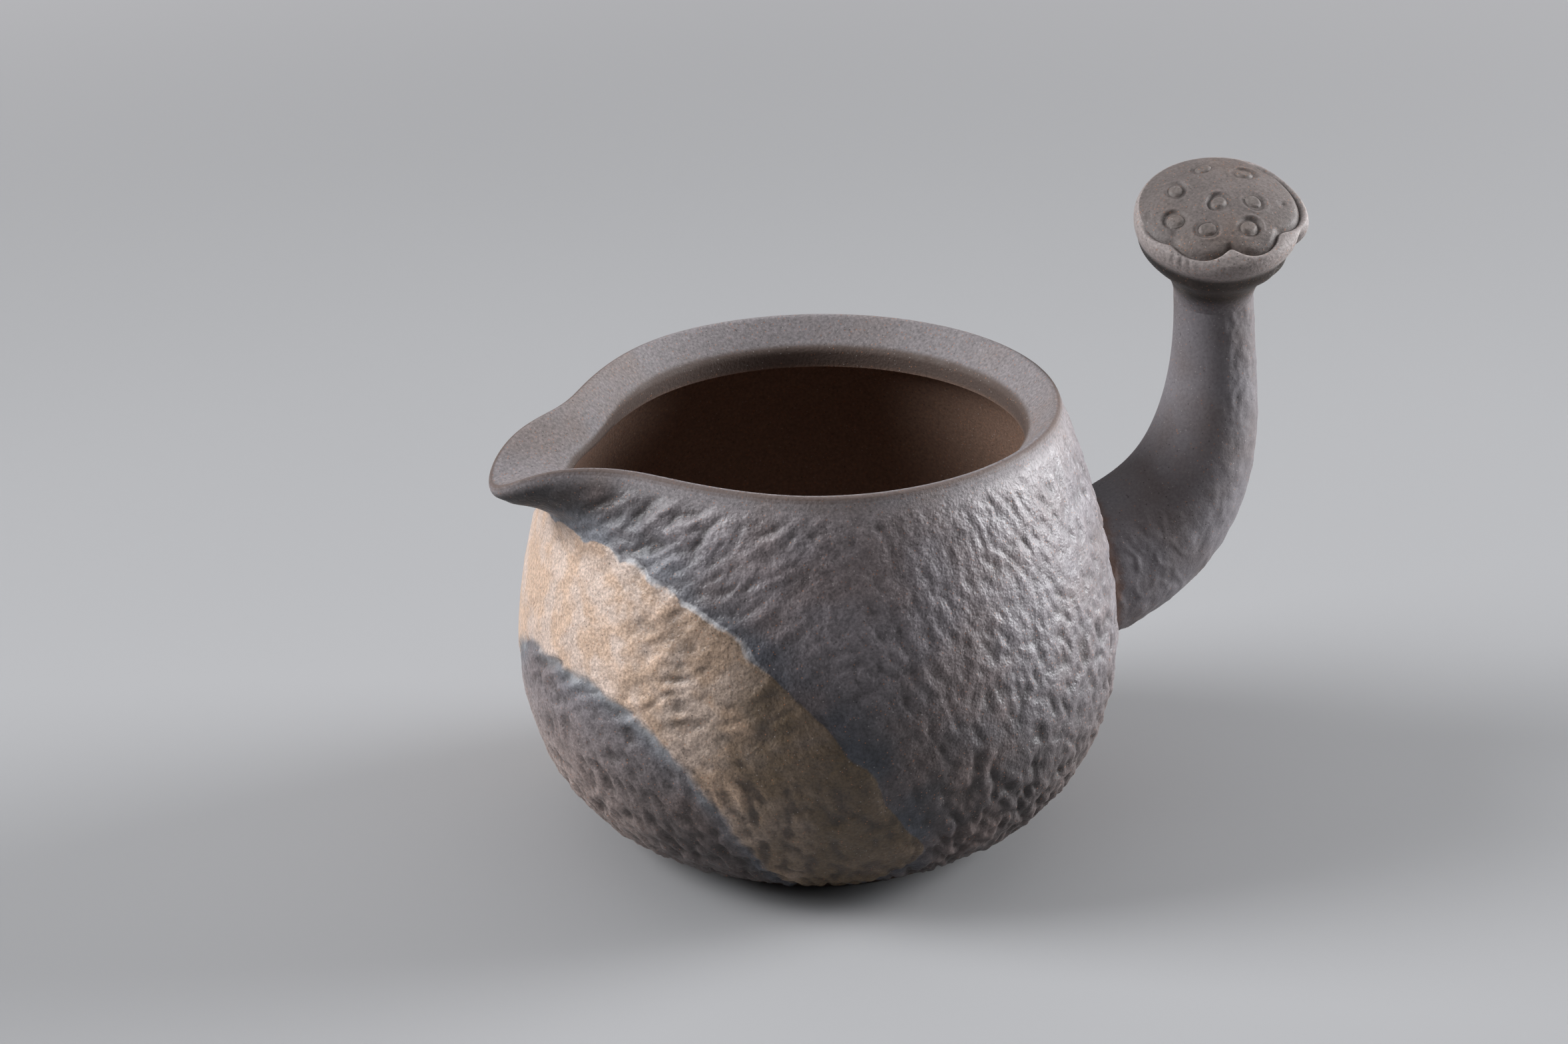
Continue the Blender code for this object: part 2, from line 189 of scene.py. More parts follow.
def cloud(place, size, detail=2.0):
    """Soft noise, mostly from 0.3 to 0.7, in lumps of that size in metres."""
    inputs = {"Vector": place, "Scale": 1 / size, "Detail": detail, "Roughness": 0.6}
    return put(place.id_data, "TexNoise", inputs).outputs[0]


def wander(place, size, reach):
    """Soft noise about zero, in lumps of that size in metres, times a reach."""
    return product(sums("SUBTRACT", cloud(place, size), 0.5), reach)


def speckle(place, spacing, share, size):
    """Round spots on a random share of scattered places: 1 inside, fading over a spot's outer half."""
    cells = put(place.id_data, "TexVoronoi", {"Vector": place, "Scale": 1 / spacing})
    round_spots = ramp(cells.outputs["Distance"], size, size * 0.5)
    chosen = put(place.id_data, "SeparateColor", {"Color": cells.outputs["Color"]}).outputs[0]
    return product(round_spots, sums("LESS_THAN", chosen, share))


def new_group(name, inputs, outputs):
    """An empty node group with named sockets, as its tree, what it is given and what it puts out."""
    tree = bpy.data.node_groups.new(name, "ShaderNodeTree")
    for side, sockets in (("INPUT", inputs), ("OUTPUT", outputs)):
        for label, kind in sockets.items():
            tree.interface.new_socket(label, in_out=side, socket_type="NodeSocket" + kind)
    return tree, tree.nodes.new("NodeGroupInput").outputs, tree.nodes.new("NodeGroupOutput").inputs


RUST_GRAIN = srgb(172, 116, 82)
DARK_GRAIN = srgb(40, 35, 34)
PALE_GRAIN = srgb(190, 182, 178)


def sandy_grain_group():
    """Sandy fired clay: a colour broken up by fine grain, with rust, dark and pale grains in it."""
    inputs = {"Colour": "Color", "Rust": "Float", "Contrast": "Float"}
    tree, given, result = new_group("sandy_grain", inputs, {"Colour": "Color", "Height": "Float"})
    place = place_of(tree)
    fine = cloud(place, 0.45 * MM, detail=3.0)
    tone = sums("ADD", product(sums("SUBTRACT", fine, 0.5), given["Contrast"]), 1.0)
    pale = speckle(place, 0.6 * MM, share=0.2, size=0.2)
    colour = coated(
        dimmed(given["Colour"], tone),
        (RUST_GRAIN, 0.7, speckle(place, 0.65 * MM, given["Rust"], size=0.19)),
        (DARK_GRAIN, 0.6, speckle(place, 0.7 * MM, share=0.25, size=0.22)),
        (PALE_GRAIN, 0.4, pale),
    )
    tree.links.new(colour, result["Colour"])
    tree.links.new(sums("ADD", fine, product(pale, 0.3)), result["Height"])
    return tree


def relief_shade_and_patches_group():
    """Painted shade in the relief's hollows and a painted highlight on its high places, and wide warm and
    cool patches of the clay.
    """
    inputs = {"Colour": "Color", "Warm": "Color", "Relief": "Float", "Patches": "Float"}
    tree, given, result = new_group("relief_shade_and_patches", inputs, {"Colour": "Color"})
    warm = product(ramp(cloud(place_of(tree), 14 * MM), 0.42, 0.68), given["Patches"])
    colour = blend(warm, given["Colour"], given["Warm"])
    # Painted shade in the hollows and a painted highlight on the high places
    shade_and_highlight = ramp(given["Relief"], -1.0, 0.9, 0.66, 1.22)
    tree.links.new(dimmed(colour, shade_and_highlight), result["Colour"])
    return tree


SANDY_GRAIN = sandy_grain_group()
SHADE_AND_PATCHES = relief_shade_and_patches_group()


def grainy(tree, colour, rust, contrast):
    """Sandy grain in a colour, put out as Colour and Height."""
    inputs = {"Colour": colour, "Rust": rust, "Contrast": contrast}
    return put(tree, "Group", inputs, node_tree=SANDY_GRAIN).outputs


def shaded_patchy_grain(tree, colour, warm, relief, patches, rust, contrast):
    """A colour with painted shade and highlight from its relief, with warm patches and then sandy grain in
    it.
    """
    inputs = {"Colour": colour, "Warm": warm, "Relief": relief, "Patches": patches}
    toned = put(tree, "Group", inputs, node_tree=SHADE_AND_PATCHES).outputs["Colour"]
    return grainy(tree, toned, rust, contrast)


def new_matt(name, gloss=0.3):
    """A matt material with a little gloss, as the material, its node tree and its shader."""
    material = bpy.data.materials.new(name)
    material.use_nodes = True
    shader = material.node_tree.nodes["Principled BSDF"]
    shader.inputs["Specular IOR Level"].default_value = gloss
    return material, material.node_tree, shader


def fire(shader, colour, height, roughness, depth):
    """Sends a colour, a roughness with fine variation and a sandy bump to the clay's shader."""
    tree = colour.id_data
    uneven = ramp(cloud(place_of(tree), 2.5 * MM), 0.3, 0.7, -0.06, 0.06)
    bump = put(tree, "Bump", {"Height": height, "Distance": depth, "Strength": 1.0})
    tree.links.new(colour, shader.inputs["Base Color"])
    tree.links.new(sums("ADD", uneven, roughness), shader.inputs["Roughness"])
    tree.links.new(bump.outputs[0], shader.inputs["Normal"])


FOOT_BROWN = srgb(84, 70, 62)
FOOT_WARM = srgb(104, 80, 64)


def foot_clay():
    """Smooth dark brown clay with fine grain, paler where the sponge ran."""
    material, tree, shader = new_matt("turned_foot_clay")
    grain = shaded_patchy_grain(tree, FOOT_BROWN, FOOT_WARM, relief=0.0, patches=0.6, rust=0.2, contrast=0.6)
    fire(shader, grain["Colour"], grain["Height"], roughness=0.78, depth=0.08 * MM)
    return material


foot_turn = np.linspace(-np.pi / 2, 0, FOOT_EDGE_ROWS)
foot_radius = np.concatenate(
    [[FOOT_INNER], FOOT_RADIUS - FOOT_ROUND + FOOT_ROUND * np.cos(foot_turn), [FOOT_RADIUS] * 2]
)
foot_height = np.concatenate([[0], FOOT_ROUND + FOOT_ROUND * np.sin(foot_turn), [FOOT_SIDE, FOOT_TOP]])
foot_disc = clay_piece(
    "foot_disc",
    foot_clay(),
    on_axis(full_turn(FOOT_COLUMNS), foot_radius[:, None], foot_height[:, None]),
    (0, 0, 0),
    (0, 0, FOOT_TOP),
    sharp=FOOT_SHARP,
)
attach(foot_disc, "root")
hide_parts("foot")


# Vessel wall
# The thrown round body, of dark sandy stoneware. Its skin was beaten and pecked while leather hard,
# and a band of tan slip was brushed over it in an arch below the lip and down to the foot.

BELLY_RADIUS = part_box("vessel_wall")[1].x
BELLY_HEIGHT = 29.5 * MM
BOWL_FLAT = 24.0 * MM
BOWL_BOTTOM = 1.0 * MM
BODY_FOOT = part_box("vessel_wall")[0].z
SEAM_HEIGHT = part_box("vessel_wall")[1].z
RIM_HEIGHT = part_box("rim_collar")[1].z
RIM_RADIUS = 36.5 * MM
CREST_ROUND = 0.8 * MM
CREST_HEIGHT = RIM_HEIGHT - CREST_ROUND
SHOULDER_POWER = 1.7
CREST_TILT = np.arctan(SHOULDER_POWER * (BELLY_RADIUS - RIM_RADIUS) / (CREST_HEIGHT - BELLY_HEIGHT))
CREST_SWELL = CREST_ROUND * (1 / np.cos(CREST_TILT) - 1)
CREST_BLEND = 4.0 * MM
WALL = 4.0 * MM
BODY_COLUMNS = 640
WALL_ROWS = 124
WALL_TABLE = 3000


def shoulder_radius(height, inset=0.0):
    """Above the belly the radius falls with a power of the height, as far as the rim."""
    rise = np.clip((height - BELLY_HEIGHT) / (CREST_HEIGHT - BELLY_HEIGHT), 0, None)
    return BELLY_RADIUS - (BELLY_RADIUS - RIM_RADIUS) * rise**SHOULDER_POWER - inset


def bowl_radius(height, inset=0.0):
    """Below the belly the wall is a quarter ellipse that ends level at the flat of the bowl."""
    depth = BELLY_HEIGHT - BOWL_BOTTOM - inset
    down = np.clip((BELLY_HEIGHT - height) / depth, 0, 1)
    return BOWL_FLAT + (BELLY_RADIUS - BOWL_FLAT - inset) * np.sqrt(1 - down**2)


def wall_radius(height, inset=0.0):
    """The wall's radius at a height, moved inwards by the inset."""
    return np.where(height > BELLY_HEIGHT, shoulder_radius(height, inset), bowl_radius(height, inset))


def run_along(radius, height):
    """The distance along a profile from its first point, at each of its points."""
    return np.concatenate([[0], np.cumsum(np.hypot(np.diff(radius), np.diff(height)))])


table_height = np.linspace(BODY_FOOT, CREST_HEIGHT, WALL_TABLE)
table_radius = wall_radius(table_height)
table_along = run_along(table_radius, table_height)
CREST_ALONG = table_along[-1]
SEAM_ALONG = float(np.interp(SEAM_HEIGHT, table_height, table_along))


def on_wall(along):
    """Radius, height and outward direction on the wall, at a distance along it from the foot."""
    radius = np.interp(along, table_along, table_radius)
    height = np.interp(along, table_along, table_height)
    slope_radius = np.interp(along, table_along, np.gradient(table_radius, table_along))
    slope_height = np.interp(along, table_along, np.gradient(table_height, table_along))
    return radius, height, slope_height, -slope_radius


SCATTER_PRIMES = (374761393, 668265263, 1274126177)
SCATTER_MASK = 0xFFFFFFFF
RIPPLE_GAIN = 1.5


def scatter(across, up, salt):
    """Scrambles whole numbers into a number from 0 to 1, always the same for the same place."""
    first, second, third = SCATTER_PRIMES
    mixed = (across * first + up * second + salt * third) & SCATTER_MASK
    mixed = ((mixed ^ (mixed >> 13)) * third) & SCATTER_MASK
    return (mixed ^ (mixed >> 16)) / SCATTER_MASK


def ripple(across, up, around, salt):
    """Gradient noise from about -1 to 1 on a lattice that closes on itself after around cells.

    Each corner of a cell slopes in a scrambled direction, and a quintic blends the four slopes.
    """
    column, row = np.floor(across).astype(np.int64), np.floor(up).astype(np.int64)
    part_across, part_up = across - column, up - row
    ease_across, ease_up = (part**3 * (part * (part * 6 - 15) + 10) for part in (part_across, part_up))
    total = 0.0
    for step in (0, 1):
        for rise in (0, 1):
            turn = 2 * np.pi * scatter((column + step) % around, row + rise, salt)
            slope = np.cos(turn) * (part_across - step) + np.sin(turn) * (part_up - rise)
            weight = np.where(step, ease_across, 1 - ease_across) * np.where(rise, ease_up, 1 - ease_up)
            total = total + weight * slope
    return RIPPLE_GAIN * total


def ease(value, low, high):
    """Runs smoothly from 0 to 1 as the value goes from low to high."""
    share = np.clip((value - low) / (high - low), 0, 1)
    return share * share * (3 - 2 * share)


def bell(value, width):
    """A bell curve of height 1, as wide as the given standard deviation."""
    return np.exp(-0.5 * (value / width) ** 2)


def wrap(angle):
    """An angle brought within half a turn of zero."""
    return (angle + np.pi) % (2 * np.pi) - np.pi


def near(bearing, middle, spread):
    """A bell curve of the bearing from a middle one."""
    return bell(wrap(bearing - middle), spread)


# The slip band's edges are arches over the wall, in distances along the wall from the foot
SLIP_TOP = 60.0 * MM
SLIP_TOP_BEARING = np.radians(-165)
SLIP_TOP_SPAN = np.radians(75)
SLIP_TOP_FALL = 44.0 * MM
SLIP_TOP_POWER = 2.45
SLIP_RISE = 2.6 * MM
SLIP_RISE_BEARING = np.radians(166)
SLIP_RISE_SPREAD = np.radians(11)
SLIP_LOW = 40.7 * MM
SLIP_LOW_BEARING = np.radians(-168)
SLIP_LOW_SPAN = np.radians(47)
SLIP_LOW_FALL = 29.9 * MM
SLIP_LOW_POWER = 2.9
SLIP_LOW_RAGGED = 0.5
SLIP_END_HEIGHT = 15.0 * MM
SLIP_END_CURVE = np.radians(1.8)
SLIP_END_REACH = 4.1 * MM
SCALLOP = 2.0 * MM
SCALLOP_MIDDLE = 0.25
SCALLOPS_ROUND = 34
SCALLOP_LENGTH = 8.0 * MM
RAG = 0.12 * MM
RAGS_ROUND = 5 * SCALLOPS_ROUND
RAG_LENGTH = 1.8 * MM


def arch(bearing, top, middle, span, fall, power):
    """An arch that falls from its top with a power of the bearing from its middle.

    Gives its height along the wall, the share of its span, and its length for each step round the wall.
    """
    away = np.abs(wrap(bearing - middle)) / span
    slope = fall * power / span * away ** (power - 1) / BELLY_RADIUS
    return top - fall * away**power, away, np.hypot(1, slope)


def slip_edges(bearing, along):
    """How far a place is inside the slip band's upper and lower edge, in metres, and its run along it.

    The upper edge has a rise beside the lip and turns back in a parabola near the foot. Folded noise
    scallops both edges, and fine noise makes them ragged.
    """
    turns = bearing / (2 * np.pi)
    folded = np.abs(ripple(turns * SCALLOPS_ROUND, along / SCALLOP_LENGTH, SCALLOPS_ROUND, salt=11))
    fine = ripple(turns * RAGS_ROUND, along / RAG_LENGTH, RAGS_ROUND, salt=12)
    ragged = SCALLOP * (folded - SCALLOP_MIDDLE) + RAG * fine
    top, away, slant = arch(
        bearing, SLIP_TOP, SLIP_TOP_BEARING, SLIP_TOP_SPAN, SLIP_TOP_FALL, SLIP_TOP_POWER
    )
    top = top + SLIP_RISE * near(bearing, SLIP_RISE_BEARING, SLIP_RISE_SPREAD)
    turn_back = np.clip((SLIP_END_HEIGHT - along) / SLIP_END_REACH, 0, None) ** 2 * SLIP_END_CURVE
    inside_end = ((1 - away) * SLIP_TOP_SPAN - turn_back) * BELLY_RADIUS
    inside_top = np.minimum((top - along) / slant, inside_end)
    low, _, low_slant = arch(
        bearing, SLIP_LOW, SLIP_LOW_BEARING, SLIP_LOW_SPAN, SLIP_LOW_FALL, SLIP_LOW_POWER
    )
    inside_low = (along - low) / low_slant
    run = wrap(bearing - SLIP_TOP_BEARING) / SLIP_TOP_SPAN
    return inside_top + ragged, inside_low + SLIP_LOW_RAGGED * ragged, run


# A layer of relief is its cells round the wall, a cell's length, its lean and its strength
PECK_LAYERS = ((84, 4.6 * MM, 0.75, 0.48), (142, 3.0 * MM, 0.62, 0.8), (225, 1.9 * MM, 0.5, 0.5))
DRAG_LAYERS = ((76, 3.6 * MM, -1.2, 1.5), (130, 2.3 * MM, -1.3, 0.9), (220, 1.4 * MM, -1.0, 0.4))
WALL_BEND = (30, 8.0 * MM)
SWAY = 0.5
DRIFT = 0.45
PECK_TOP = 0.75
PECK_PIT = 1.15
PECK_FADE = 0.3
PECK_FADE_RISE = (38.0 * MM, 62.0 * MM)
DRAG_BEARING = np.radians(-150)
DRAG_SPREAD = np.radians(28)
DRAG_RISE = (28.0 * MM, 42.0 * MM)
CALM_SHARE = 0.3
CALM_BEARING = np.radians(-107)
CALM_SPREAD = np.radians(19)
CALM_RISE = (22.0 * MM, 36.0 * MM)
PATCH_GAIN = 0.45
PATCHES_ROUND = 16
PATCH_LENGTH = 15.0 * MM
LOW_GAIN = 0.55
LOW_FALL = (32.0 * MM, 10.0 * MM)
RIM_FADE = (0.9 * MM, 4.0 * MM)
FOOT_FADE = 1.5 * MM


def leaning(turns, along, layers, bend, salt):
    """Adds up layers of noise, each given as cells round, a cell's length, a lean and a strength.

    A lean is how many cells a layer moves to the left over one length. Slow noise, given as its own cells
    round and length, bends all the layers, so that no row of the lattice shows.
    """
    slow_round, slow_length = bend
    sway = ripple(turns * slow_round, along / slow_length, slow_round, salt)
    drift = ripple(turns * slow_round, along / slow_length, slow_round, salt + 1)
    total = 0.0
    for number, (around, length, lean, weight) in enumerate(layers, salt + 2):
        up = along / length + DRIFT * drift
        total = total + weight * ripple(turns * around + lean * up + SWAY * sway, up, around, number)
    return total


def beaten(bearing, along):
    """Height of the beaten skin, about -1 to 1: pecks that lean to the left, or dragged dimples.

    Pits are sharper than the tops between them. The dimples climb to the right, left of the front, and
    the front beside them is calmer. All of it dies away below the smooth rim and at the foot.
    """
    turns = bearing / (2 * np.pi)
    pecked = leaning(turns, along, PECK_LAYERS, WALL_BEND, salt=1)
    pecked = pecked * np.where(pecked > 0, PECK_TOP, PECK_PIT)
    pecked = pecked * (1 - PECK_FADE * ease(along, *PECK_FADE_RISE))
    dragged = leaning(turns, along, DRAG_LAYERS, WALL_BEND, salt=11)
    drag = near(bearing, DRAG_BEARING, DRAG_SPREAD) * ease(along, *DRAG_RISE)
    calm = CALM_SHARE * near(bearing, CALM_BEARING, CALM_SPREAD) * ease(along, *CALM_RISE)
    patch = PATCH_GAIN * ripple(turns * PATCHES_ROUND, along / PATCH_LENGTH, PATCHES_ROUND, salt=21)
    low = LOW_GAIN * ease(along, *LOW_FALL)
    ends = ease(CREST_ALONG - along, *RIM_FADE) * ease(along, 0, FOOT_FADE)
    return ((1 - drag) * pecked + drag * dragged) * (1 - calm) * (1 + patch) * (1 + low) * ends


RELIEF = 0.42 * MM
SLIP_THICKNESS = 0.22 * MM
SLIP_EDGE = 0.25 * MM
SLIP_FOOT_FADE = 3.0 * MM
SLIP_CALM = 0.3
SLIP_FRONT_CALM = 0.5
SLIP_FRONT_RUN = (0.5, 0.1)
MARGIN_CALM = 0.35
MARGIN_RISE = (-6.5 * MM, -1.0 * MM)
MARGIN_LOW_FADE = 4.0 * MM
# Painted shade: the front of the wall is darkened in colour, most towards the foot
SHADE_BEARING = np.radians(-95)
SHADE_SPREAD = np.radians(45)
SHADE_FALL = (62.0 * MM, 20.0 * MM)
# Painted shade in the hollow under the lip, above the slip band
LIP_SHADE_SPREAD = np.radians(24)
LIP_SHADE_RISE = 5.0 * MM
PALE_END = (0.35, 0.0)
PALE_START = (-2.2, -0.9)


def body_skin(bearing, along):
    """The outer wall's points, and what its material needs to know of each.

    The beaten skin stands on the plain wall along its outward direction. It is flatter under the slip
    and in the smooth margin above the band, and the slip itself stands a little proud.
    """
    radius, height, out, up = on_wall(along)
    radius = radius + CREST_SWELL * ease(along, CREST_ALONG - CREST_BLEND, CREST_ALONG)
    inside_top, inside_low, run = slip_edges(bearing, along)
    covered = ease(np.minimum(inside_top, inside_low), -SLIP_EDGE, SLIP_EDGE)
    margin = ease(inside_top, *MARGIN_RISE) * (1 - covered) * ease(inside_low, 0, MARGIN_LOW_FADE)
    under_slip = SLIP_CALM + SLIP_FRONT_CALM * ease(run, *SLIP_FRONT_RUN)
    skin = beaten(bearing, along) * (1 - under_slip * covered - MARGIN_CALM * margin)
    # Painted shade on the front of the wall, and below it in the hollow under the lip
    painted_shade = near(bearing, SHADE_BEARING, SHADE_SPREAD) * ease(along, *SHADE_FALL)
    lip_shade = near(bearing, LIP_BEARING, LIP_SHADE_SPREAD) * ease(along, SLIP_TOP, SLIP_TOP + LIP_SHADE_RISE)
    relief = RELIEF * skin + SLIP_THICKNESS * covered * ease(along, 0, SLIP_FOOT_FADE)
    radius, height = draw_lip(bearing, radius + out * relief, height + up * relief)
    marks = {
        "relief": skin,
        "slip_top": inside_top / MM,
        "slip_bottom": inside_low / MM,
        "slip_run": run,
        "pale": ease(run, *PALE_END) * ease(run, *PALE_START),
        "painted_shade": np.maximum(painted_shade, lip_shade),
        "crest_run": (along - CREST_ALONG) / MM,
    }
    marks = {name: np.broadcast_to(values, relief.shape) for name, values in marks.items()}
    return on_axis(bearing, radius, height), marks


LIP_BEARING = np.pi
LIP_REACH = 13.9 * MM
LIP_SPREAD = np.radians(10.4)
LIP_DROOP = 4.8 * MM
DROOP_SPREAD = np.radians(5.7)
LIP_FADE_POWER = 4
LIP_INNER_SHARE = 0.7
PINCH_DEPTH = 0.9 * MM
PINCH_BEARING = np.radians(44)
PINCH_SPREAD = np.radians(14)
COLLAR_HEIGHT = RIM_HEIGHT - SEAM_HEIGHT
CREST_RADIUS = RIM_RADIUS - CREST_ROUND
BEVEL = 3.5 * MM
MOUTH_ROUND = 1.5 * MM
SLANT = np.sqrt(0.5)
MOUTH_RADIUS = CREST_RADIUS - CREST_ROUND * SLANT - BEVEL - MOUTH_ROUND * (1 - SLANT)
SEAM_STEP = 0.1 * MM


def draw_lip(bearing, radius, height):
    """Where a place on the plain ring goes when the lip is drawn out of it.

    The pull is a bell curve of the bearing from the lip, full at the crest and gone at the collar's
    foot, with a shallow pinch on either side; the tip is let down in a narrower bell curve.
    """
    turn = wrap(bearing - LIP_BEARING)
    depth = (RIM_HEIGHT - height) / COLLAR_HEIGHT
    fade = np.clip(1 - depth * depth, 0, 1) ** LIP_FADE_POWER
    across = np.clip((radius - MOUTH_RADIUS) / (CREST_RADIUS - MOUTH_RADIUS), 0, 1)
    share = LIP_INNER_SHARE + (1 - LIP_INNER_SHARE) * across
    pull = LIP_REACH * fade * share * bell(turn, LIP_SPREAD)
    pinch = PINCH_DEPTH * fade * bell(np.abs(turn) - PINCH_BEARING, PINCH_SPREAD)
    droop = LIP_DROOP * fade * across * bell(turn, DROOP_SPREAD)
    return radius + pull - pinch, height - droop


def seam_directions(bearing):
    """The skin's outward directions at the shoulder joint, from points a little to each side of it."""
    turn = SEAM_STEP / BELLY_RADIUS
    right, left = (body_skin(bearing + side, SEAM_ALONG)[0] for side in (turn, -turn))
    above, below = (body_skin(bearing, SEAM_ALONG + side)[0] for side in (SEAM_STEP, -SEAM_STEP))
    outward = np.cross(right - left, above - below)
    return outward / np.linalg.norm(outward, axis=-1, keepdims=True)


def hide_seam(mesh, face_row, corners):
    """Gives one row of faces the true outward directions at the shoulder joint, so no line shows.

    Corners are pairs: which corner of a face lies on the joint, and how many columns on it lies.
    """
    directions = seam_directions(body_bearing)[0]
    normals = np.zeros((len(mesh.loops), 3))
    quads = normals[: len(mesh.loops) // 4 * 4].reshape(-1, 4, 3)
    row = quads[face_row * BODY_COLUMNS : (face_row + 1) * BODY_COLUMNS]
    for corner, shift in corners:
        row[:, corner] = np.roll(directions, -shift, axis=0)
    mesh.normals_split_custom_set(normals)


CHARCOAL = srgb(125, 118, 121)
WARM_CHARCOAL = srgb(106, 90, 85)
LOW_BROWN = srgb(118, 105, 101)
LOW_PALE = srgb(166, 148, 141)
RIM_GREY = srgb(149, 140, 140)
# The near-black of the painted shade on the front and under the lip
SHADE = srgb(34, 31, 33)
SLATE = srgb(100, 102, 108)
DARK_SLATE = srgb(60, 63, 71)
PIT_SHADE = srgb(58, 48, 45)
TAN_SLIP = srgb(198, 169, 147)
CREAM_SLIP = srgb(206, 184, 170)
BROWN_SLIP = srgb(87, 71, 52)
SHADED_SLIP = srgb(130, 108, 92)
SLIP_HOLLOW_SHADE = srgb(66, 54, 46)
WARM_SLIP = srgb(150, 130, 118)
SLIP_WASH = srgb(158, 158, 160)
SLIP_FRINGE = srgb(190, 188, 190)
RIM_CLAY = srgb(128, 121, 122)
WARM_RIM = srgb(126, 111, 104)
CREST_BROWN = srgb(84, 64, 54)
LAND_SHADE_BROWN = srgb(82, 67, 60)
INSIDE_BROWN = srgb(121, 95, 80)


def hammered_clay():
    """The wall's and rim's clay: beaten charcoal skin, tan slip in its slate margin, brown inside, and
    painted shade.

    Masks show the coats of colour by relief, by height, by millimetres inside the slip band's edges, by
    the run along the band, and by millimetres inwards from the crest. Noise frays the band's edges.
    """
    material, tree, shader = new_matt("hammered_clay", gloss=0.5)
    relief, pale, painted_shade = (told_by(tree, name) for name in ("relief", "pale", "painted_shade"))
    slip_run, crest = told_by(tree, "slip_run"), told_by(tree, "crest_run")
    place = place_of(tree)
    height = put(tree, "SeparateXYZ", {"Vector": place}).outputs["Z"]
    fray = wander(place, 0.7 * MM, 0.4)
    top, bottom = (sums("ADD", told_by(tree, name), fray) for name in ("slip_top", "slip_bottom"))
    sagging = sums("ADD", bottom, wander(place, 3 * MM, 2.0))
    run = sums("ADD", slip_run, wander(place, 6 * MM, 0.5))

    low_skin = blend(pale, LOW_BROWN, LOW_PALE)
    slate = blend(ramp(slip_run, 0.3, 0.65), SLATE, DARK_SLATE)
    skin = coated(
        CHARCOAL,
        (low_skin, 1.0, ramp(height, 34 * MM, 12 * MM)),
        (RIM_GREY, 0.5, ramp(crest, -8.0, -2.0)),
        # painted shade on the front and under the lip
        (SHADE, 0.96, painted_shade),
        (slate, 0.85, ramp(top, -8.0, -1.0), ramp(bottom, -5.0, -0.5)),
        # painted shade in the pits
        (PIT_SHADE, 0.36, ramp(relief, -0.2, -1.0)),
    )
    # Painted shade in the hollows of the beaten skin, and a painted highlight on its high places
    skin = shaded_patchy_grain(tree, skin, WARM_CHARCOAL, relief, patches=0.45, rust=0.45, contrast=1.8)
    slip = coated(
        TAN_SLIP,
        (CREAM_SLIP, 1.0, ramp(cloud(place, 7 * MM), 0.42, 0.6)),
        (BROWN_SLIP, 1.0, ramp(run, 0.08, 0.76)),
        (SHADED_SLIP, 0.6, ramp(top, 4.5, 0.5), ramp(slip_run, 0.17, 0.03), ramp(slip_run, -0.32, -0.16)),
        # painted shade in the slip's hollows, more towards the band's end
        (SLIP_HOLLOW_SHADE, 0.6, ramp(relief, 0.0, -0.5), ramp(run, 0.1, 0.5)),
    )
    # The same painted shade and highlight over the slip's relief
    slip = shaded_patchy_grain(tree, slip, WARM_SLIP, relief, patches=0.25, rust=0.35, contrast=1.8)
    rim = shaded_patchy_grain(tree, RIM_CLAY, WARM_RIM, relief=0.0, patches=0.5, rust=0.85, contrast=1.7)
    # Brown of the land under the bevel, darkened as painted shade
    land = grainy(tree, LAND_SHADE_BROWN, rust=0.3, contrast=0.7)
    inside = grainy(tree, INSIDE_BROWN, rust=0.9, contrast=1.2)

    wash = product(ramp(bottom, -2.6, -0.4), ramp(top, 0.0, 2.0), ramp(run, 0.6, 0.2))
    fringe = product(ramp(top, -0.7, -0.25), ramp(top, 0.65, 0.2), ramp(bottom, 0.0, 3.0))
    fringe_run = product(ramp(run, 0.0, 0.22), ramp(run, 0.64, 0.46))
    colour = coated(
        skin["Colour"],
        (SLIP_WASH, 0.6, wash, ramp(cloud(place, 4 * MM), 0.35, 0.6)),
        (slip["Colour"], 1.0, ramp(top, -0.15, 0.25), ramp(sagging, -1.0, 1.0)),
        (SLIP_FRINGE, 0.7, fringe, fringe_run, ramp(cloud(place, 3 * MM), 0.36, 0.58)),
        (rim["Colour"], 1.0, ramp(crest, -2.2, -0.2)),
        (CREST_BROWN, 0.7, ramp(crest, -0.2, 0.2), ramp(crest, 1.0, 0.6)),
        (land["Colour"], 1.0, ramp(crest, 5.7, 6.8)),
        (inside["Colour"], 1.0, ramp(crest, 9.0, 10.5)),
    )
    pitting = product(cloud(place, 1.3 * MM), 3.0, ramp(crest, -1.0, -3.0))
    roughness = ramp(crest, -2.2, -0.2, 0.5, 0.74)
    fire(shader, colour, sums("ADD", skin["Height"], pitting), roughness, depth=0.09 * MM)
    return material


BODY_CLAY = hammered_clay()
INNER_ROWS = 14
FLOOR_TOP = BOWL_BOTTOM + WALL
FLOOR_RINGS = np.array([[0.6], [0.2]]) * BOWL_FLAT
FOOT_LAP = 1.0 * MM
FOOT_SINK = FOOT_TOP - 0.2 * MM
INSIDE_RUN = 60.0
INSIDE = {"slip_top": -50.0, "slip_bottom": -50.0}


def with_inside(marks, crest_run):
    """Marks with rows added for the inner side: no relief, no slip, and their run from the crest."""
    inside = {**INSIDE, "crest_run": crest_run}
    return {
        name: np.concatenate([values, np.broadcast_to(inside.get(name, 0.0), crest_run.shape)])
        for name, values in marks.items()
    }


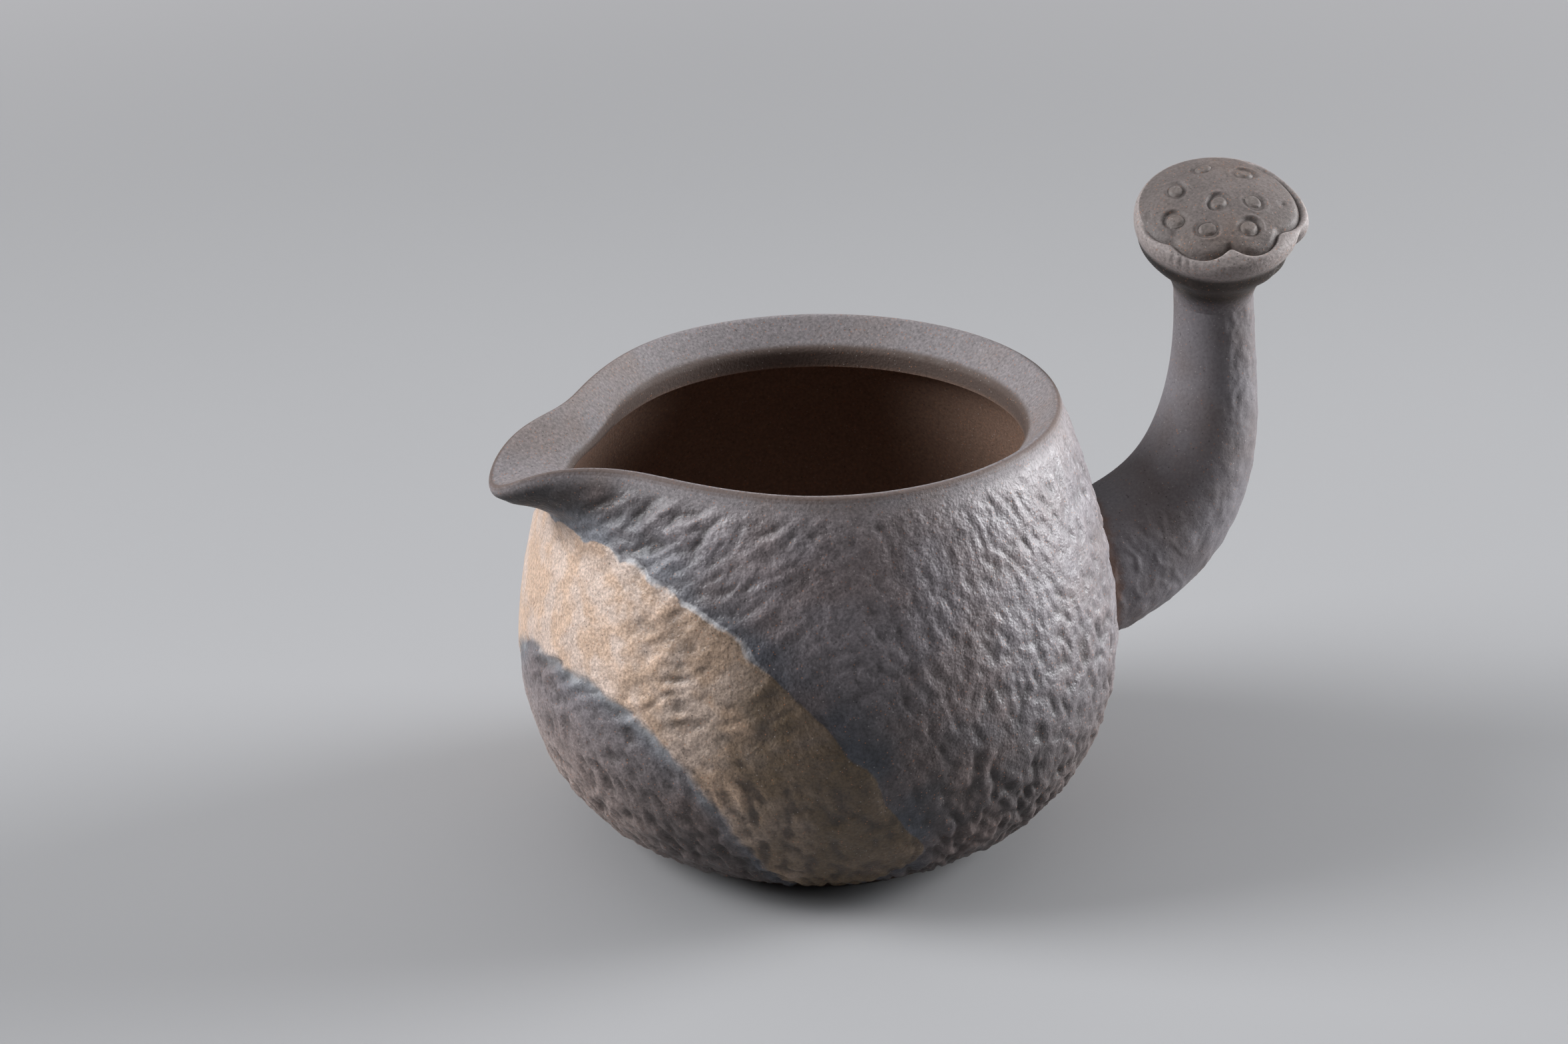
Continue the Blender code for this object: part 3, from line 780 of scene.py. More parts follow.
body_bearing = full_turn(BODY_COLUMNS, -np.pi)
wall_along = np.linspace(0, SEAM_ALONG, WALL_ROWS)[:, None]
wall_points, wall_marks = body_skin(body_bearing, wall_along)
wall_marks = {name: np.pad(values, ((1, 0), (0, 0)), "edge") for name, values in wall_marks.items()}
under_foot = on_axis(body_bearing, FOOT_RADIUS - FOOT_LAP, FOOT_SINK)
inner_drop = np.linspace(0, 1, INNER_ROWS)[:, None]
inner_height = SEAM_HEIGHT - (SEAM_HEIGHT - FLOOR_TOP) * np.sin(inner_drop * np.pi / 2)
inner_points = on_axis(body_bearing, wall_radius(inner_height, WALL), inner_height)
floor_points = on_axis(body_bearing, FLOOR_RINGS, FLOOR_TOP)
hammered_wall = clay_piece(
    "hammered_wall",
    BODY_CLAY,
    np.concatenate([under_foot, wall_points, inner_points, floor_points]),
    (0, 0, FOOT_SINK),
    (0, 0, FLOOR_TOP),
    **with_inside(wall_marks, np.full((INNER_ROWS + len(floor_points), BODY_COLUMNS), INSIDE_RUN)),
)
hide_seam(hammered_wall.data, WALL_ROWS - 1, ((2, 1), (3, 0)))
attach(hammered_wall, "root")
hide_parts("vessel_wall")


# Rim collar and pouring lip
# The mouth of the pitcher: a ring thrown with an inward bevel and a ledge below it, luted to the
# shoulder. The lip was drawn out of it with a wet finger, and the beaten skin runs up to the rim.

COLLAR_ROWS = 38
CREST_ROWS = 9
BEVEL_ROWS = 14
BEVEL_TURN = 0.75 * np.pi
MOUTH_ROWS = 7
MOUTH_LAND = 2.1 * MM
LAND_STEPS = np.array([0.35, 0.7, 1.0])
LEDGE_ROUND = 3.0 * MM
THUMB_REACH = 2.4 * MM
THUMB_SPREAD = np.radians(22)
THUMB_COLOUR = 2.2
THUMB_COLOUR_RUN = (3.0, 6.0)


def rim_section():
    """The ring's section from the crest inwards, as radii and heights.

    A round crest, a straight 45 degree bevel, a round mouth, an upright land, the hollow under the
    ledge and the inner wall down to the joint.
    """
    crest_turn = np.linspace(CREST_TILT, BEVEL_TURN, CREST_ROWS)
    bevel = np.linspace(0, 1, BEVEL_ROWS)[1:-1]
    mouth_turn = np.linspace(BEVEL_TURN, np.pi, MOUTH_ROWS)
    ledge_turn = np.linspace(np.pi / 2, 0, MOUTH_ROWS)
    bevel_top = CREST_HEIGHT + CREST_ROUND * SLANT
    mouth_height = bevel_top - BEVEL - MOUTH_ROUND * SLANT
    ledge_foot = mouth_height - MOUTH_LAND - LEDGE_ROUND
    ledge_centre = shoulder_radius(ledge_foot, WALL) - LEDGE_ROUND
    inner = np.linspace(ledge_foot, SEAM_HEIGHT, MOUTH_ROWS)[1:]
    radius = [
        CREST_RADIUS + CREST_ROUND * np.cos(crest_turn),
        CREST_RADIUS - CREST_ROUND * SLANT - BEVEL * bevel,
        MOUTH_RADIUS + MOUTH_ROUND + MOUTH_ROUND * np.cos(mouth_turn),
        np.full(len(LAND_STEPS), MOUTH_RADIUS),
        ledge_centre + LEDGE_ROUND * np.cos(ledge_turn),
        shoulder_radius(inner, WALL),
    ]
    height = [
        CREST_HEIGHT + CREST_ROUND * np.sin(crest_turn),
        bevel_top - BEVEL * bevel,
        mouth_height + MOUTH_ROUND * np.sin(mouth_turn),
        mouth_height - MOUTH_LAND * LAND_STEPS,
        ledge_foot + LEDGE_ROUND * np.sin(ledge_turn),
        inner,
    ]
    return np.concatenate(radius), np.concatenate(height)


def softened(radius, height, reach):
    """A profile with its corners worked round, and its ends kept.

    Each place moves to the mean of its neighbours along the profile, by a bell curve of that reach.
    """
    along = run_along(radius, height)
    weight = bell(along[:, None] - along[None, :], reach) * np.gradient(along)
    weight = weight / weight.sum(axis=1, keepdims=True)
    free = ease(np.minimum(along, along[-1] - along), 0, 3 * reach)
    return radius + free * (weight @ radius - radius), height + free * (weight @ height - height)


def thumbed_section():
    """The ring's section at each bearing, as radii and heights, and the run along it from the crest in mm.

    Near the lip the mouth's corner is worked round, by a bell curve of the bearing from there, and the
    bevel's colour runs on over it.
    """
    radius, height = rim_section()
    run = run_along(radius, height) / MM
    soft_radius, soft_height = softened(radius, height, THUMB_REACH)
    thumbed = near(body_bearing, LIP_BEARING, THUMB_SPREAD)
    carried = THUMB_COLOUR * ease(run, *THUMB_COLOUR_RUN)
    pairs = ((radius, soft_radius - radius), (height, soft_height - height), (run, -carried))
    return [plain[:, None] + thumbed * change[:, None] for plain, change in pairs]


collar_along = np.linspace(SEAM_ALONG, CREST_ALONG, COLLAR_ROWS)[:, None]
collar_points, collar_marks = body_skin(body_bearing, collar_along)
section_radius, section_height, crest_run = thumbed_section()
rim_points = on_axis(body_bearing, *draw_lip(body_bearing, section_radius, section_height))
rim_and_lip = clay_piece(
    "rim_and_lip",
    BODY_CLAY,
    np.concatenate([collar_points, rim_points]),
    looped=True,
    **with_inside(collar_marks, crest_run),
)
hide_seam(rim_and_lip.data, 0, ((0, 0), (1, 1)))
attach(rim_and_lip, "root")
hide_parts("rim_collar")


# Handle stem
# A thick coil of clay bent like a lotus stalk, luted to the belly. Its inner side was stroked smooth,
# and its outer side and root were knocked and creased to look like bark.

STEM_ROOT = np.array([BELLY_RADIUS, 32.3 * MM])
STEM_ROOT_ANGLE = np.radians(19)
STEM_ROOT_PULL = 18.5 * MM
STEM_ROOT_RADIUS = 10.9 * MM
STEM_NECK = np.array([BELLY_RADIUS + 19.8 * MM, 74.1 * MM])
STEM_NECK_LEAN = np.radians(3)
STEM_NECK_PULL = 25.0 * MM
STEM_NECK_RADIUS = 6.05 * MM
STEM_EMBED = 5.0 * MM
STEM_ROWS = 170
STEM_COLUMNS = 150
STEM_TABLE = 600
BARK = 0.15 * MM
BARK_SHADE = 0.34
BARK_LAYERS = ((15, 4.2 * MM, 0.5, 0.6), (26, 2.4 * MM, -0.3, 0.7), (42, 1.4 * MM, 0.3, 0.45))
BARK_BEND = (7, 7.0 * MM)
BARK_SIDE = (-0.45, 0.1)
ROOT_SIDE = (-0.85, -0.35)
ROOT_SHARE = (0.5, 0.12)
RIDGES_ROUND = 14
RIDGE_LENGTH = 4.5 * MM
RIDGE_GAIN = 0.5
RIDGE_WIDTH = 0.07
GULLY_GAIN = 0.3
GULLY_PLACE = 0.22
GULLY_WIDTH = 0.1
RIDGE_SHARE = (0.6, 0.25)
SMOOTH_GAIN = 0.12
SMOOTH_ROUND = 6
SMOOTH_LENGTH = 7.0 * MM


def cubic(t, start, leave, arrive, end):
    """A cubic curve from start to end, drawn towards leave on its way out and arrive on its way in."""
    return (1 - t) ** 3 * start + 3 * t * (1 - t) ** 2 * leave + 3 * t**2 * (1 - t) * arrive + t**3 * end


def stem_table():
    """The stem's middle line in the XZ plane: a cubic curve, with its length from the root."""
    away = np.array([np.cos(STEM_ROOT_ANGLE), np.sin(STEM_ROOT_ANGLE)])
    upward = np.array([-np.sin(STEM_NECK_LEAN), np.cos(STEM_NECK_LEAN)])
    t = np.linspace(0, 1, STEM_TABLE)[:, None]
    leave, arrive = STEM_ROOT + away * STEM_ROOT_PULL, STEM_NECK - upward * STEM_NECK_PULL
    line = cubic(t, STEM_ROOT, leave, arrive, STEM_NECK)
    line = np.concatenate([[STEM_ROOT - away * STEM_EMBED], line])
    return line, run_along(line[:, 0], line[:, 1]) - STEM_EMBED


def bark(turn, share, along):
    """Height of the stem's bark, about -1 to 1, at a turn round it and a share of and length along it.

    Uneven knobs cover the outer side, and near the root the sides too, where thin ridges net them over:
    each ridge is a bell curve with gullies beside it. The inner side is almost smooth.
    """
    outer = ease(np.cos(turn), *BARK_SIDE)
    low = ease(share, *ROOT_SHARE) * ease(np.cos(turn), *ROOT_SIDE)
    shows = np.maximum(outer, low)
    across = turn / (2 * np.pi)
    knobs = leaning(across, along, BARK_LAYERS, BARK_BEND, salt=22)
    fold = np.abs(ripple(across * RIDGES_ROUND, along / RIDGE_LENGTH, RIDGES_ROUND, salt=28))
    ridged = RIDGE_GAIN * bell(fold, RIDGE_WIDTH) - GULLY_GAIN * bell(fold - GULLY_PLACE, GULLY_WIDTH)
    ridged = ridged * ease(share, *RIDGE_SHARE)
    smooth = SMOOTH_GAIN * ripple(across * SMOOTH_ROUND, along / SMOOTH_LENGTH, SMOOTH_ROUND, salt=29)
    return shows * (knobs + ridged) + (1 - shows) * smooth


STEM_GREY = srgb(116, 111, 114)
STEM_WARM = srgb(98, 85, 80)
ROOT_SLIP = srgb(112, 80, 62)


def stem_clay():
    """Slate-grey clay, with painted shade in the bark's hollows and a painted highlight on its knobs, and
    a brown line of slip round the root.
    """
    material, tree, shader = new_matt("stem_bark_clay", gloss=0.35)
    relief, off_wall = told_by(tree, "relief"), told_by(tree, "root_run")
    grain = shaded_patchy_grain(tree, STEM_GREY, STEM_WARM, relief, patches=0.5, rust=0.25, contrast=0.8)
    root = ramp(sums("ADD", off_wall, wander(place_of(tree), 2 * MM, 3.0)), 2.6, 0.6)
    colour = coated(grain["Colour"], (ROOT_SLIP, 0.7, root))
    fire(shader, colour, grain["Height"], roughness=0.66, depth=0.06 * MM)
    return material


stem_line, stem_length = stem_table()
stem_along = np.linspace(-STEM_EMBED, stem_length[-1], STEM_ROWS)
stem_middle = np.stack([np.interp(stem_along, stem_length, stem_line[:, i]) for i in (0, 1)], axis=-1)
stem_heading = np.gradient(stem_middle, axis=0)
stem_heading /= np.linalg.norm(stem_heading, axis=1, keepdims=True)
stem_turn = full_turn(STEM_COLUMNS)
stem_along = stem_along[:, None]
stem_share = stem_along / stem_length[-1]
stem_taper = (1 + np.cos(np.pi * np.clip(stem_share, 0, 1))) / 2
stem_radius = STEM_NECK_RADIUS + (STEM_ROOT_RADIUS - STEM_NECK_RADIUS) * stem_taper
bark_relief = bark(stem_turn, stem_share, stem_along)
stem_swell = stem_radius + BARK * bark_relief
stem_out = stem_swell * np.cos(stem_turn)
stem_x = stem_middle[:, :1] + stem_heading[:, 1:] * stem_out
stem_y = stem_swell * np.sin(stem_turn)
stem_z = stem_middle[:, 1:] - stem_heading[:, :1] * stem_out
stem_bark = clay_piece(
    "stem_bark",
    stem_clay(),
    np.stack([stem_x, stem_y, stem_z], axis=-1),
    (stem_middle[0, 0], 0, stem_middle[0, 1]),
    (stem_middle[-1, 0], 0, stem_middle[-1, 1]),
    relief=BARK_SHADE * bark_relief,
    root_run=(np.hypot(stem_x, stem_y) - wall_radius(stem_z)) / MM,
)
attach(stem_bark, "root")
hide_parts("handle_stem")


# Lotus pod
# The seed pod at the stem's end, pinched from a ball of clay: a funnel with a soft rolled rim, one side
# of it pulled out over a crease. Fingernail nicks mark the front of the roll.

POD_LEAN = np.radians(20)
POD_LEAN_HEADING = np.radians(-110)
POD_RADIUS = 13.1 * MM
POD_HEIGHT = 16.8 * MM
ROLL_WIDTH = 1.2 * MM
ROLL_HEIGHT = 3.4 * MM
ROLL_TOP = 3.5 * MM
ROLL_END = np.radians(50)
FUNNEL_FLARE = np.radians(50)
FUNNEL_NECK_PULL = 5.5 * MM
FUNNEL_RIM_PULL = 3.5 * MM
POD_SKIRT = 3.0 * MM
SKIRT_RADIUS = 0.9 * STEM_NECK_RADIUS
POD_SOFTEN = 1.15 * MM
LOBE_REACH = 0.85 * MM
LOBE_BEARING = np.radians(-33)
LOBE_SPREAD = np.radians(14)
LOBE_POWER = 4
FACE_EDGE = POD_HEIGHT + 0.2 * MM
FACE_DOME = 1.9 * MM
FACE_RADIUS = 11.19 * MM
GROOVE_RADIUS = 11.8 * MM
GROOVE_LOBE = 0.5 * LOBE_REACH
GROOVE_FRONT = 0.35 * MM
GROOVE_DEPTH = 0.5 * MM
GROOVE_WIDTH = 0.52 * MM
# Painted shade in the pod's groove
GROOVE_SHADE = 0.45
GROOVE_SHOULDER = 0.55 * MM
SHOULDER_IN = 1.4 * MM
SHOULDER_OUT = 0.5 * MM
GROOVE_SHUT = 0.06
GROOVE_OPEN_BEARING = np.radians(-70)
GROOVE_OPEN_REACH = (np.radians(122), np.radians(92))
GROOVE_CUSPS = ((-104, 2.6 * MM), (-55, 1.8 * MM), (-153, 1.2 * MM))
CUSP_SPREAD = np.radians(11)
CUSP_ROUND = np.radians(4)
FRONT_SPREAD = np.radians(60)
POD_COLUMNS = 300
FUNNEL_ROWS = 34
ROLL_ROWS = 30
RIM_ROWS = 14

lean_heading = Matrix.Rotation(POD_LEAN_HEADING, 3, "Z")
pod_turn = np.array(lean_heading @ Matrix.Rotation(POD_LEAN, 3, "Y") @ lean_heading.inverted())
pod_foot = np.array([STEM_NECK[0], 0.0, STEM_NECK[1]])


def on_pod(points):
    """Places points of the upright pod on the stem's end, leaning as the pod does."""
    return np.asarray(points) @ pod_turn.T + pod_foot


def pod_swell(bearing, height):
    """How far the pulled lobe moves the pod's wall outwards: most at the rim, nothing at the neck."""
    share = np.clip(height / (POD_HEIGHT - ROLL_HEIGHT), 0, 1) ** LOBE_POWER
    return share * LOBE_REACH * near(bearing, LOBE_BEARING, LOBE_SPREAD)


def groove_radius(bearing):
    """The groove's distance from the pod's axis: a circle with rounded inward cusps between its lobes."""
    radius = GROOVE_RADIUS + GROOVE_LOBE * near(bearing, LOBE_BEARING, LOBE_SPREAD)
    radius = radius + GROOVE_FRONT * near(bearing, POD_LEAN_HEADING, FRONT_SPREAD)
    for degrees, depth in GROOVE_CUSPS:
        away = np.hypot(wrap(bearing - np.radians(degrees)), CUSP_ROUND) - CUSP_ROUND
        radius = radius - depth * np.exp(-away / CUSP_SPREAD)
    return radius


def groove_open(bearing):
    """How open the groove is: full in front and at the right, pressed shut behind and at the left."""
    away = np.abs(wrap(bearing - GROOVE_OPEN_BEARING))
    return GROOVE_SHUT + (1 - GROOVE_SHUT) * ease(away, *GROOVE_OPEN_REACH)


def groove_score(bearing, distance):
    """How deep the groove is scored, from 0 to 1: a narrow bell across it, as far as it is open."""
    inward = groove_radius(bearing) - distance
    return groove_open(bearing) * np.exp(-((inward / GROOVE_WIDTH) ** 2))


def dome(distance):
    """The plain height of the pod's top above its foot: a shallow parabola."""
    return FACE_EDGE + FACE_DOME * (1 - (distance / FACE_RADIUS) ** 2)


def pod_top(bearing, distance):
    """The pod's top: the dome with the groove scored into it, and a soft shoulder down to the groove."""
    inward = groove_radius(bearing) - distance
    reach = np.where(inward > 0, SHOULDER_IN, SHOULDER_OUT)
    shoulder = GROOVE_SHOULDER * groove_open(bearing) * np.exp(-np.abs(inward) / reach)
    return dome(distance) - GROOVE_DEPTH * groove_score(bearing, distance) - shoulder


# Painted shade under the pod's roll
UNDER_ROLL_SHADE = srgb(38, 32, 29)
NECK_GREY = srgb(112, 107, 110)


def pod_clay(name, colour, warm, patches=0.6, necked=False):
    """Brown-grey clay with rust grains, with painted shade in its hollows and a painted highlight on its
    raised places; a necked piece has painted shade under its rim.
    """
    material, tree, shader = new_matt(name, gloss=0.4)
    if necked:
        rise = told_by(tree, "neck_rise")
        # Painted shade under the roll; at the neck the colour turns to the stem's grey
        colour = coated(
            colour, (UNDER_ROLL_SHADE, 1.0, ramp(rise, 13.9, 11.8)), (NECK_GREY, 1.0, ramp(rise, 5.0, 1.0))
        )
    grain = shaded_patchy_grain(tree, colour, warm, told_by(tree, "relief"), patches, rust=0.9, contrast=1.4)
    fire(shader, grain["Colour"], grain["Height"], roughness=0.62, depth=0.08 * MM)
    return material


def funnel_section():
    """The funnel's section, as radii and heights: a skirt in the stem's end, a cubic flare and a roll.

    The roll is part of an ellipse. The corner under it is worked round, with the dome beyond the roll.
    """
    roll_turn = np.linspace(-FUNNEL_FLARE, ROLL_END, ROLL_ROWS)
    roll_reach = np.where(roll_turn < 0, ROLL_HEIGHT, ROLL_TOP)
    roll_radius = POD_RADIUS - ROLL_WIDTH + ROLL_WIDTH * np.cos(roll_turn)
    roll_height = POD_HEIGHT - ROLL_HEIGHT + roll_reach * np.sin(roll_turn)
    rim = np.array([roll_radius[0], roll_height[0]])
    neck = np.array([STEM_NECK_RADIUS, 0.0])
    leave = neck + np.array([0.0, FUNNEL_NECK_PULL])
    arrive = rim - np.array([np.sin(FUNNEL_FLARE), np.cos(FUNNEL_FLARE)]) * FUNNEL_RIM_PULL
    flank = cubic(np.linspace(0, 1, FUNNEL_ROWS)[:-1, None], neck, leave, arrive, rim)
    beyond = np.linspace(roll_radius[-1], 0.5 * FACE_RADIUS, ROLL_ROWS)[1:]
    radius, height = softened(
        np.concatenate([flank[:, 0], roll_radius, beyond]),
        np.concatenate([flank[:, 1], roll_height, dome(beyond)]),
        POD_SOFTEN,
    )
    radius = np.concatenate([[SKIRT_RADIUS], radius[: -len(beyond)]])
    height = np.concatenate([[-POD_SKIRT], height[: -len(beyond)]])
    return radius[:, None], height[:, None]


NICK_BEARING = np.radians(-141)
NICK_SPREAD = np.radians(7)
NICK_DEPTH = 0.2 * MM
NICK_LEVEL = 15.6 * MM
NICK_HEIGHT = 0.9 * MM
NICKS_ROUND = 58
NICK_SLANT = 0.8 / MM
CREASE_BEARING = np.radians(-48)
CREASE_SPREAD = np.radians(4.5)
CREASE_DEPTH = 1.9 * MM
CREASE_LEVEL = 12.8 * MM
CREASE_HEIGHT = 1.7 * MM
CREASE_SLANT = np.radians(3.5) / MM
CREASE_SLANT_LEVEL = 13.4 * MM
POD_TUCK = 1.0 * MM
TUCK_BACK_SHARE = 0.4
TUCK_LEVEL = 11.7 * MM
TUCK_HEIGHT = 1.3 * MM
LOBE_UNDERCUT = 1.2 * MM
UNDERCUT_LEVEL = 11.4 * MM
UNDERCUT_SPREAD = 1.3 * LOBE_SPREAD
POD_WAVE = 0.5 * MM
POD_WAVES = 7
WAVE_RISE = (5.0 * MM, 12.0 * MM)
WAVE_LENGTH = 9.0 * MM
WAVE_LEVEL = 0.4
GROOVE_LAP = 0.2 * MM
RIM_LAP = 1.2 * MM


def funnel_rows(bearing):
    """The funnel's points, painted shade for its nicks, crease and groove, and heights in mm.

    Its section is tucked in under the roll, and more under the lobe. The nicks are a fine wave in a
    bell-shaped window, and the crease is a slanting bell under the lobe. Slow waves round the rim show
    that it was pinched. From the roll the rim's top runs in to the groove.
    """
    radius, height = funnel_section()
    nicks = near(bearing, NICK_BEARING, NICK_SPREAD) * bell(height - NICK_LEVEL, NICK_HEIGHT)
    nicks = nicks * np.clip(np.sin(bearing * NICKS_ROUND + height * NICK_SLANT), 0, 1)
    slant = CREASE_BEARING + (height - CREASE_SLANT_LEVEL) * CREASE_SLANT
    crease = near(bearing, slant, CREASE_SPREAD) * bell(height - CREASE_LEVEL, CREASE_HEIGHT)
    front = near(bearing, POD_LEAN_HEADING, FRONT_SPREAD)
    tuck = POD_TUCK * (TUCK_BACK_SHARE + (1 - TUCK_BACK_SHARE) * front)
    tuck = tuck * bell(height - TUCK_LEVEL, TUCK_HEIGHT)
    below_lobe = near(bearing, LOBE_BEARING, UNDERCUT_SPREAD) * bell(height - UNDERCUT_LEVEL, TUCK_HEIGHT)
    radius = radius + pod_swell(bearing, height) - tuck - LOBE_UNDERCUT * below_lobe
    radius = radius - NICK_DEPTH * nicks - CREASE_DEPTH * crease
    waves = bearing / (2 * np.pi) * POD_WAVES
    pinched = POD_WAVE * ease(height, *WAVE_RISE)
    radius = radius + pinched * ripple(waves, height / WAVE_LENGTH, POD_WAVES, salt=31)
    height = height + pinched * ripple(waves, np.full_like(height, WAVE_LEVEL), POD_WAVES, salt=32)
    inward = np.linspace(0, 1, RIM_ROWS)[1:, None]
    groove = groove_radius(bearing)
    top_radius = radius[-1] + (groove - radius[-1]) * inward
    step = height[-1] - pod_top(bearing, radius[-1:])
    top_height = pod_top(bearing, top_radius) + step * (1 - inward) ** 2
    top_shade = -GROOVE_SHADE * groove_score(bearing, top_radius)
    lap_radius = groove - GROOVE_LAP
    lap_height = pod_top(bearing, lap_radius) - RIM_LAP
    radius = np.concatenate([radius, top_radius, lap_radius])
    height = np.concatenate([height, top_height, lap_height])
    tone = np.concatenate([-nicks - crease, top_shade, top_shade[-1:]])
    return on_axis(bearing, radius, height), tone, height / MM


FUNNEL_GREY = srgb(150, 140, 137)
FUNNEL_WARM = srgb(126, 108, 97)
FUNNEL_INSIDE = FACE_EDGE - 2.6 * MM

pod_bearing = full_turn(POD_COLUMNS, -np.pi)
funnel_points, funnel_shade, funnel_rise = funnel_rows(pod_bearing)
pod_funnel = clay_piece(
    "pod_funnel",
    pod_clay("pod_funnel_clay", FUNNEL_GREY, FUNNEL_WARM, patches=0.2, necked=True),
    on_pod(funnel_points),
    on_pod([0, 0, -POD_SKIRT]),
    on_pod([0, 0, FUNNEL_INSIDE]),
    relief=funnel_shade,
    neck_rise=funnel_rise,
)
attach(pod_funnel, "root")
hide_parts("pod_cup")


# Pod face
# The domed disc pressed into the pod's rim. Each seed sits in a ring pressed with the end of a tube,
# which leaves a groove and a low burr; a few stray dents lie between them.

SEED_RADIUS = 1.5 * MM
SEED_OVAL = 0.1
OVAL_TURN = 1.7
SEED_REACH = FACE_RADIUS - 2.55 * MM
SEED_PLACES = np.array(
    [(0.14, 236), (0.59, 331), (0.88, 36), (0.93, 83), (0.78, 138), (0.91, 190), (0.8, 231), (0.84, 283)]
)
SEED_PRESS = (1.0, 0.7, 0.6, 0.5, 1.0, 0.85, 0.7, 0.9)
STRAY_DENTS = np.array([(9.4 * MM, -22), (9.4 * MM, -158), (10.9 * MM, 171)])
DENT_RADIUS = 0.4 * MM
RING_DEPTH = 0.27 * MM
RING_WIDTH = 0.23 * MM
RING_OUTSET = 0.1 * MM
RING_TILT = 0.75
TILT_TURN = 2.4
BED_EDGE = 0.4 * MM
BURR = 0.11 * MM
BURR_WIDTH = 0.25 * MM
BURR_OUTSET = 0.6 * MM
FACE_SWELL = 0.22 * MM
SWELL_LENGTH = 4.5 * MM
SWELL_CELLS = 1000
FACE_ROWS = 84
FACE_FADE = (1.0, 0.94)
FACE_LAP = 1.0 * MM
FACE_UNDER = FACE_EDGE - 1.6 * MM
FACE_SHARP = 75
PRESS_SHADING = 0.36
PRESS_SHADING_MOST = 0.5
FACE_BROWN = srgb(108, 99, 96)
FACE_WARM = srgb(106, 89, 79)


def spots(distance, degrees):
    """Places on the face from distances and bearings, as rows of x and y."""
    return on_axis(np.radians(degrees), distance, 0.0)[:, :2]


def seed_oval(angle, number):
    """A seed's outline against a circle: a slight oval, turned another way for each seed."""
    return 1 + SEED_OVAL * np.cos(2 * angle - OVAL_TURN * number)


def face_relief(across, deep):
    """Height over the plain top: a groove round each seed, a burr outside it, a bed inside, and dents.

    Each ring was pressed with the tube tilted another way, so one side of it is deeper. Slow noise swells
    the clay between them.
    """
    relief = FACE_SWELL * ripple(across / SWELL_LENGTH, deep / SWELL_LENGTH, SWELL_CELLS, salt=41)
    for number, ((x, y), press) in enumerate(zip(seed_spots, SEED_PRESS), 1):
        angle = np.arctan2(deep - y, across - x)
        beyond = np.hypot(across - x, deep - y) / seed_oval(angle, number) - SEED_RADIUS
        tilted = press * (1 + RING_TILT * np.cos(angle - TILT_TURN * number))
        relief = relief - tilted * RING_DEPTH * bell(beyond - RING_OUTSET, RING_WIDTH)
        relief = relief + tilted * BURR * bell(beyond - BURR_OUTSET, BURR_WIDTH)
        relief = relief - RING_DEPTH * ease(beyond, 0, -BED_EDGE)
    for x, y in spots(STRAY_DENTS[:, 0], STRAY_DENTS[:, 1]):
        relief = relief - RING_DEPTH * bell(np.hypot(across - x, deep - y), DENT_RADIUS)
    return relief


seed_spots = spots(SEED_REACH * SEED_PLACES[:, 0], SEED_PLACES[:, 1])
face_share = np.linspace(0, 1, FACE_ROWS + 1)[:0:-1, None]
face_distance = groove_radius(pod_bearing) * face_share
face_flat = on_axis(pod_bearing, face_distance, 0.0)
face_pressed = face_relief(face_flat[..., 0], face_flat[..., 1]) * ease(face_share, *FACE_FADE)
face_rows = on_axis(pod_bearing, face_distance, pod_top(pod_bearing, face_distance) + face_pressed)
face_under = face_rows[:1] - np.array([0.0, 0.0, FACE_LAP])
# Painted shade in the pressed rings, dents and groove, and a painted highlight on the burrs and swells
face_shading = np.clip(PRESS_SHADING * face_pressed / RING_DEPTH, -PRESS_SHADING_MOST, PRESS_SHADING_MOST)
face_shading = face_shading - GROOVE_SHADE * groove_score(pod_bearing, face_distance)
pod_dome = clay_piece(
    "pod_dome",
    pod_clay("pod_face_clay", FACE_BROWN, FACE_WARM),
    on_pod(np.concatenate([face_under, face_rows])),
    on_pod([0, 0, FACE_UNDER]),
    on_pod([0, 0, dome(0.0)]),
    sharp=FACE_SHARP,
    relief=np.concatenate([face_shading[:1], face_shading]),
)
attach(pod_dome, "root")
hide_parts("pod_face")


# Seeds
# Eight flat-topped pellets of the same clay, each left standing inside its pressed ring.
# They were pushed down by hand, so each tilts another way.

SEED_COLUMNS = 48
SEED_ROWS = 14
SEED_MIDDLE = 0.05
SEED_PROUD = 0.12 * MM
SEED_ROUND = 0.5 * MM
SEED_ROUND_REACH = (0.5, 1.02)
SEED_SINK = 0.9 * MM
SEED_UNDER = 1.4 * MM
SEED_TILT = 0.2 * MM
SEED_SHARP = 180
SEED_EDGE_SHADE = 0.3
SEED_EDGE_SHADE_REACH = (0.7, 1.0)
SEED_BROWN = srgb(110, 101, 97)
SEED_WARM = srgb(108, 91, 81)
SEED_CLAY = pod_clay("pod_seed_clay", SEED_BROWN, SEED_WARM)

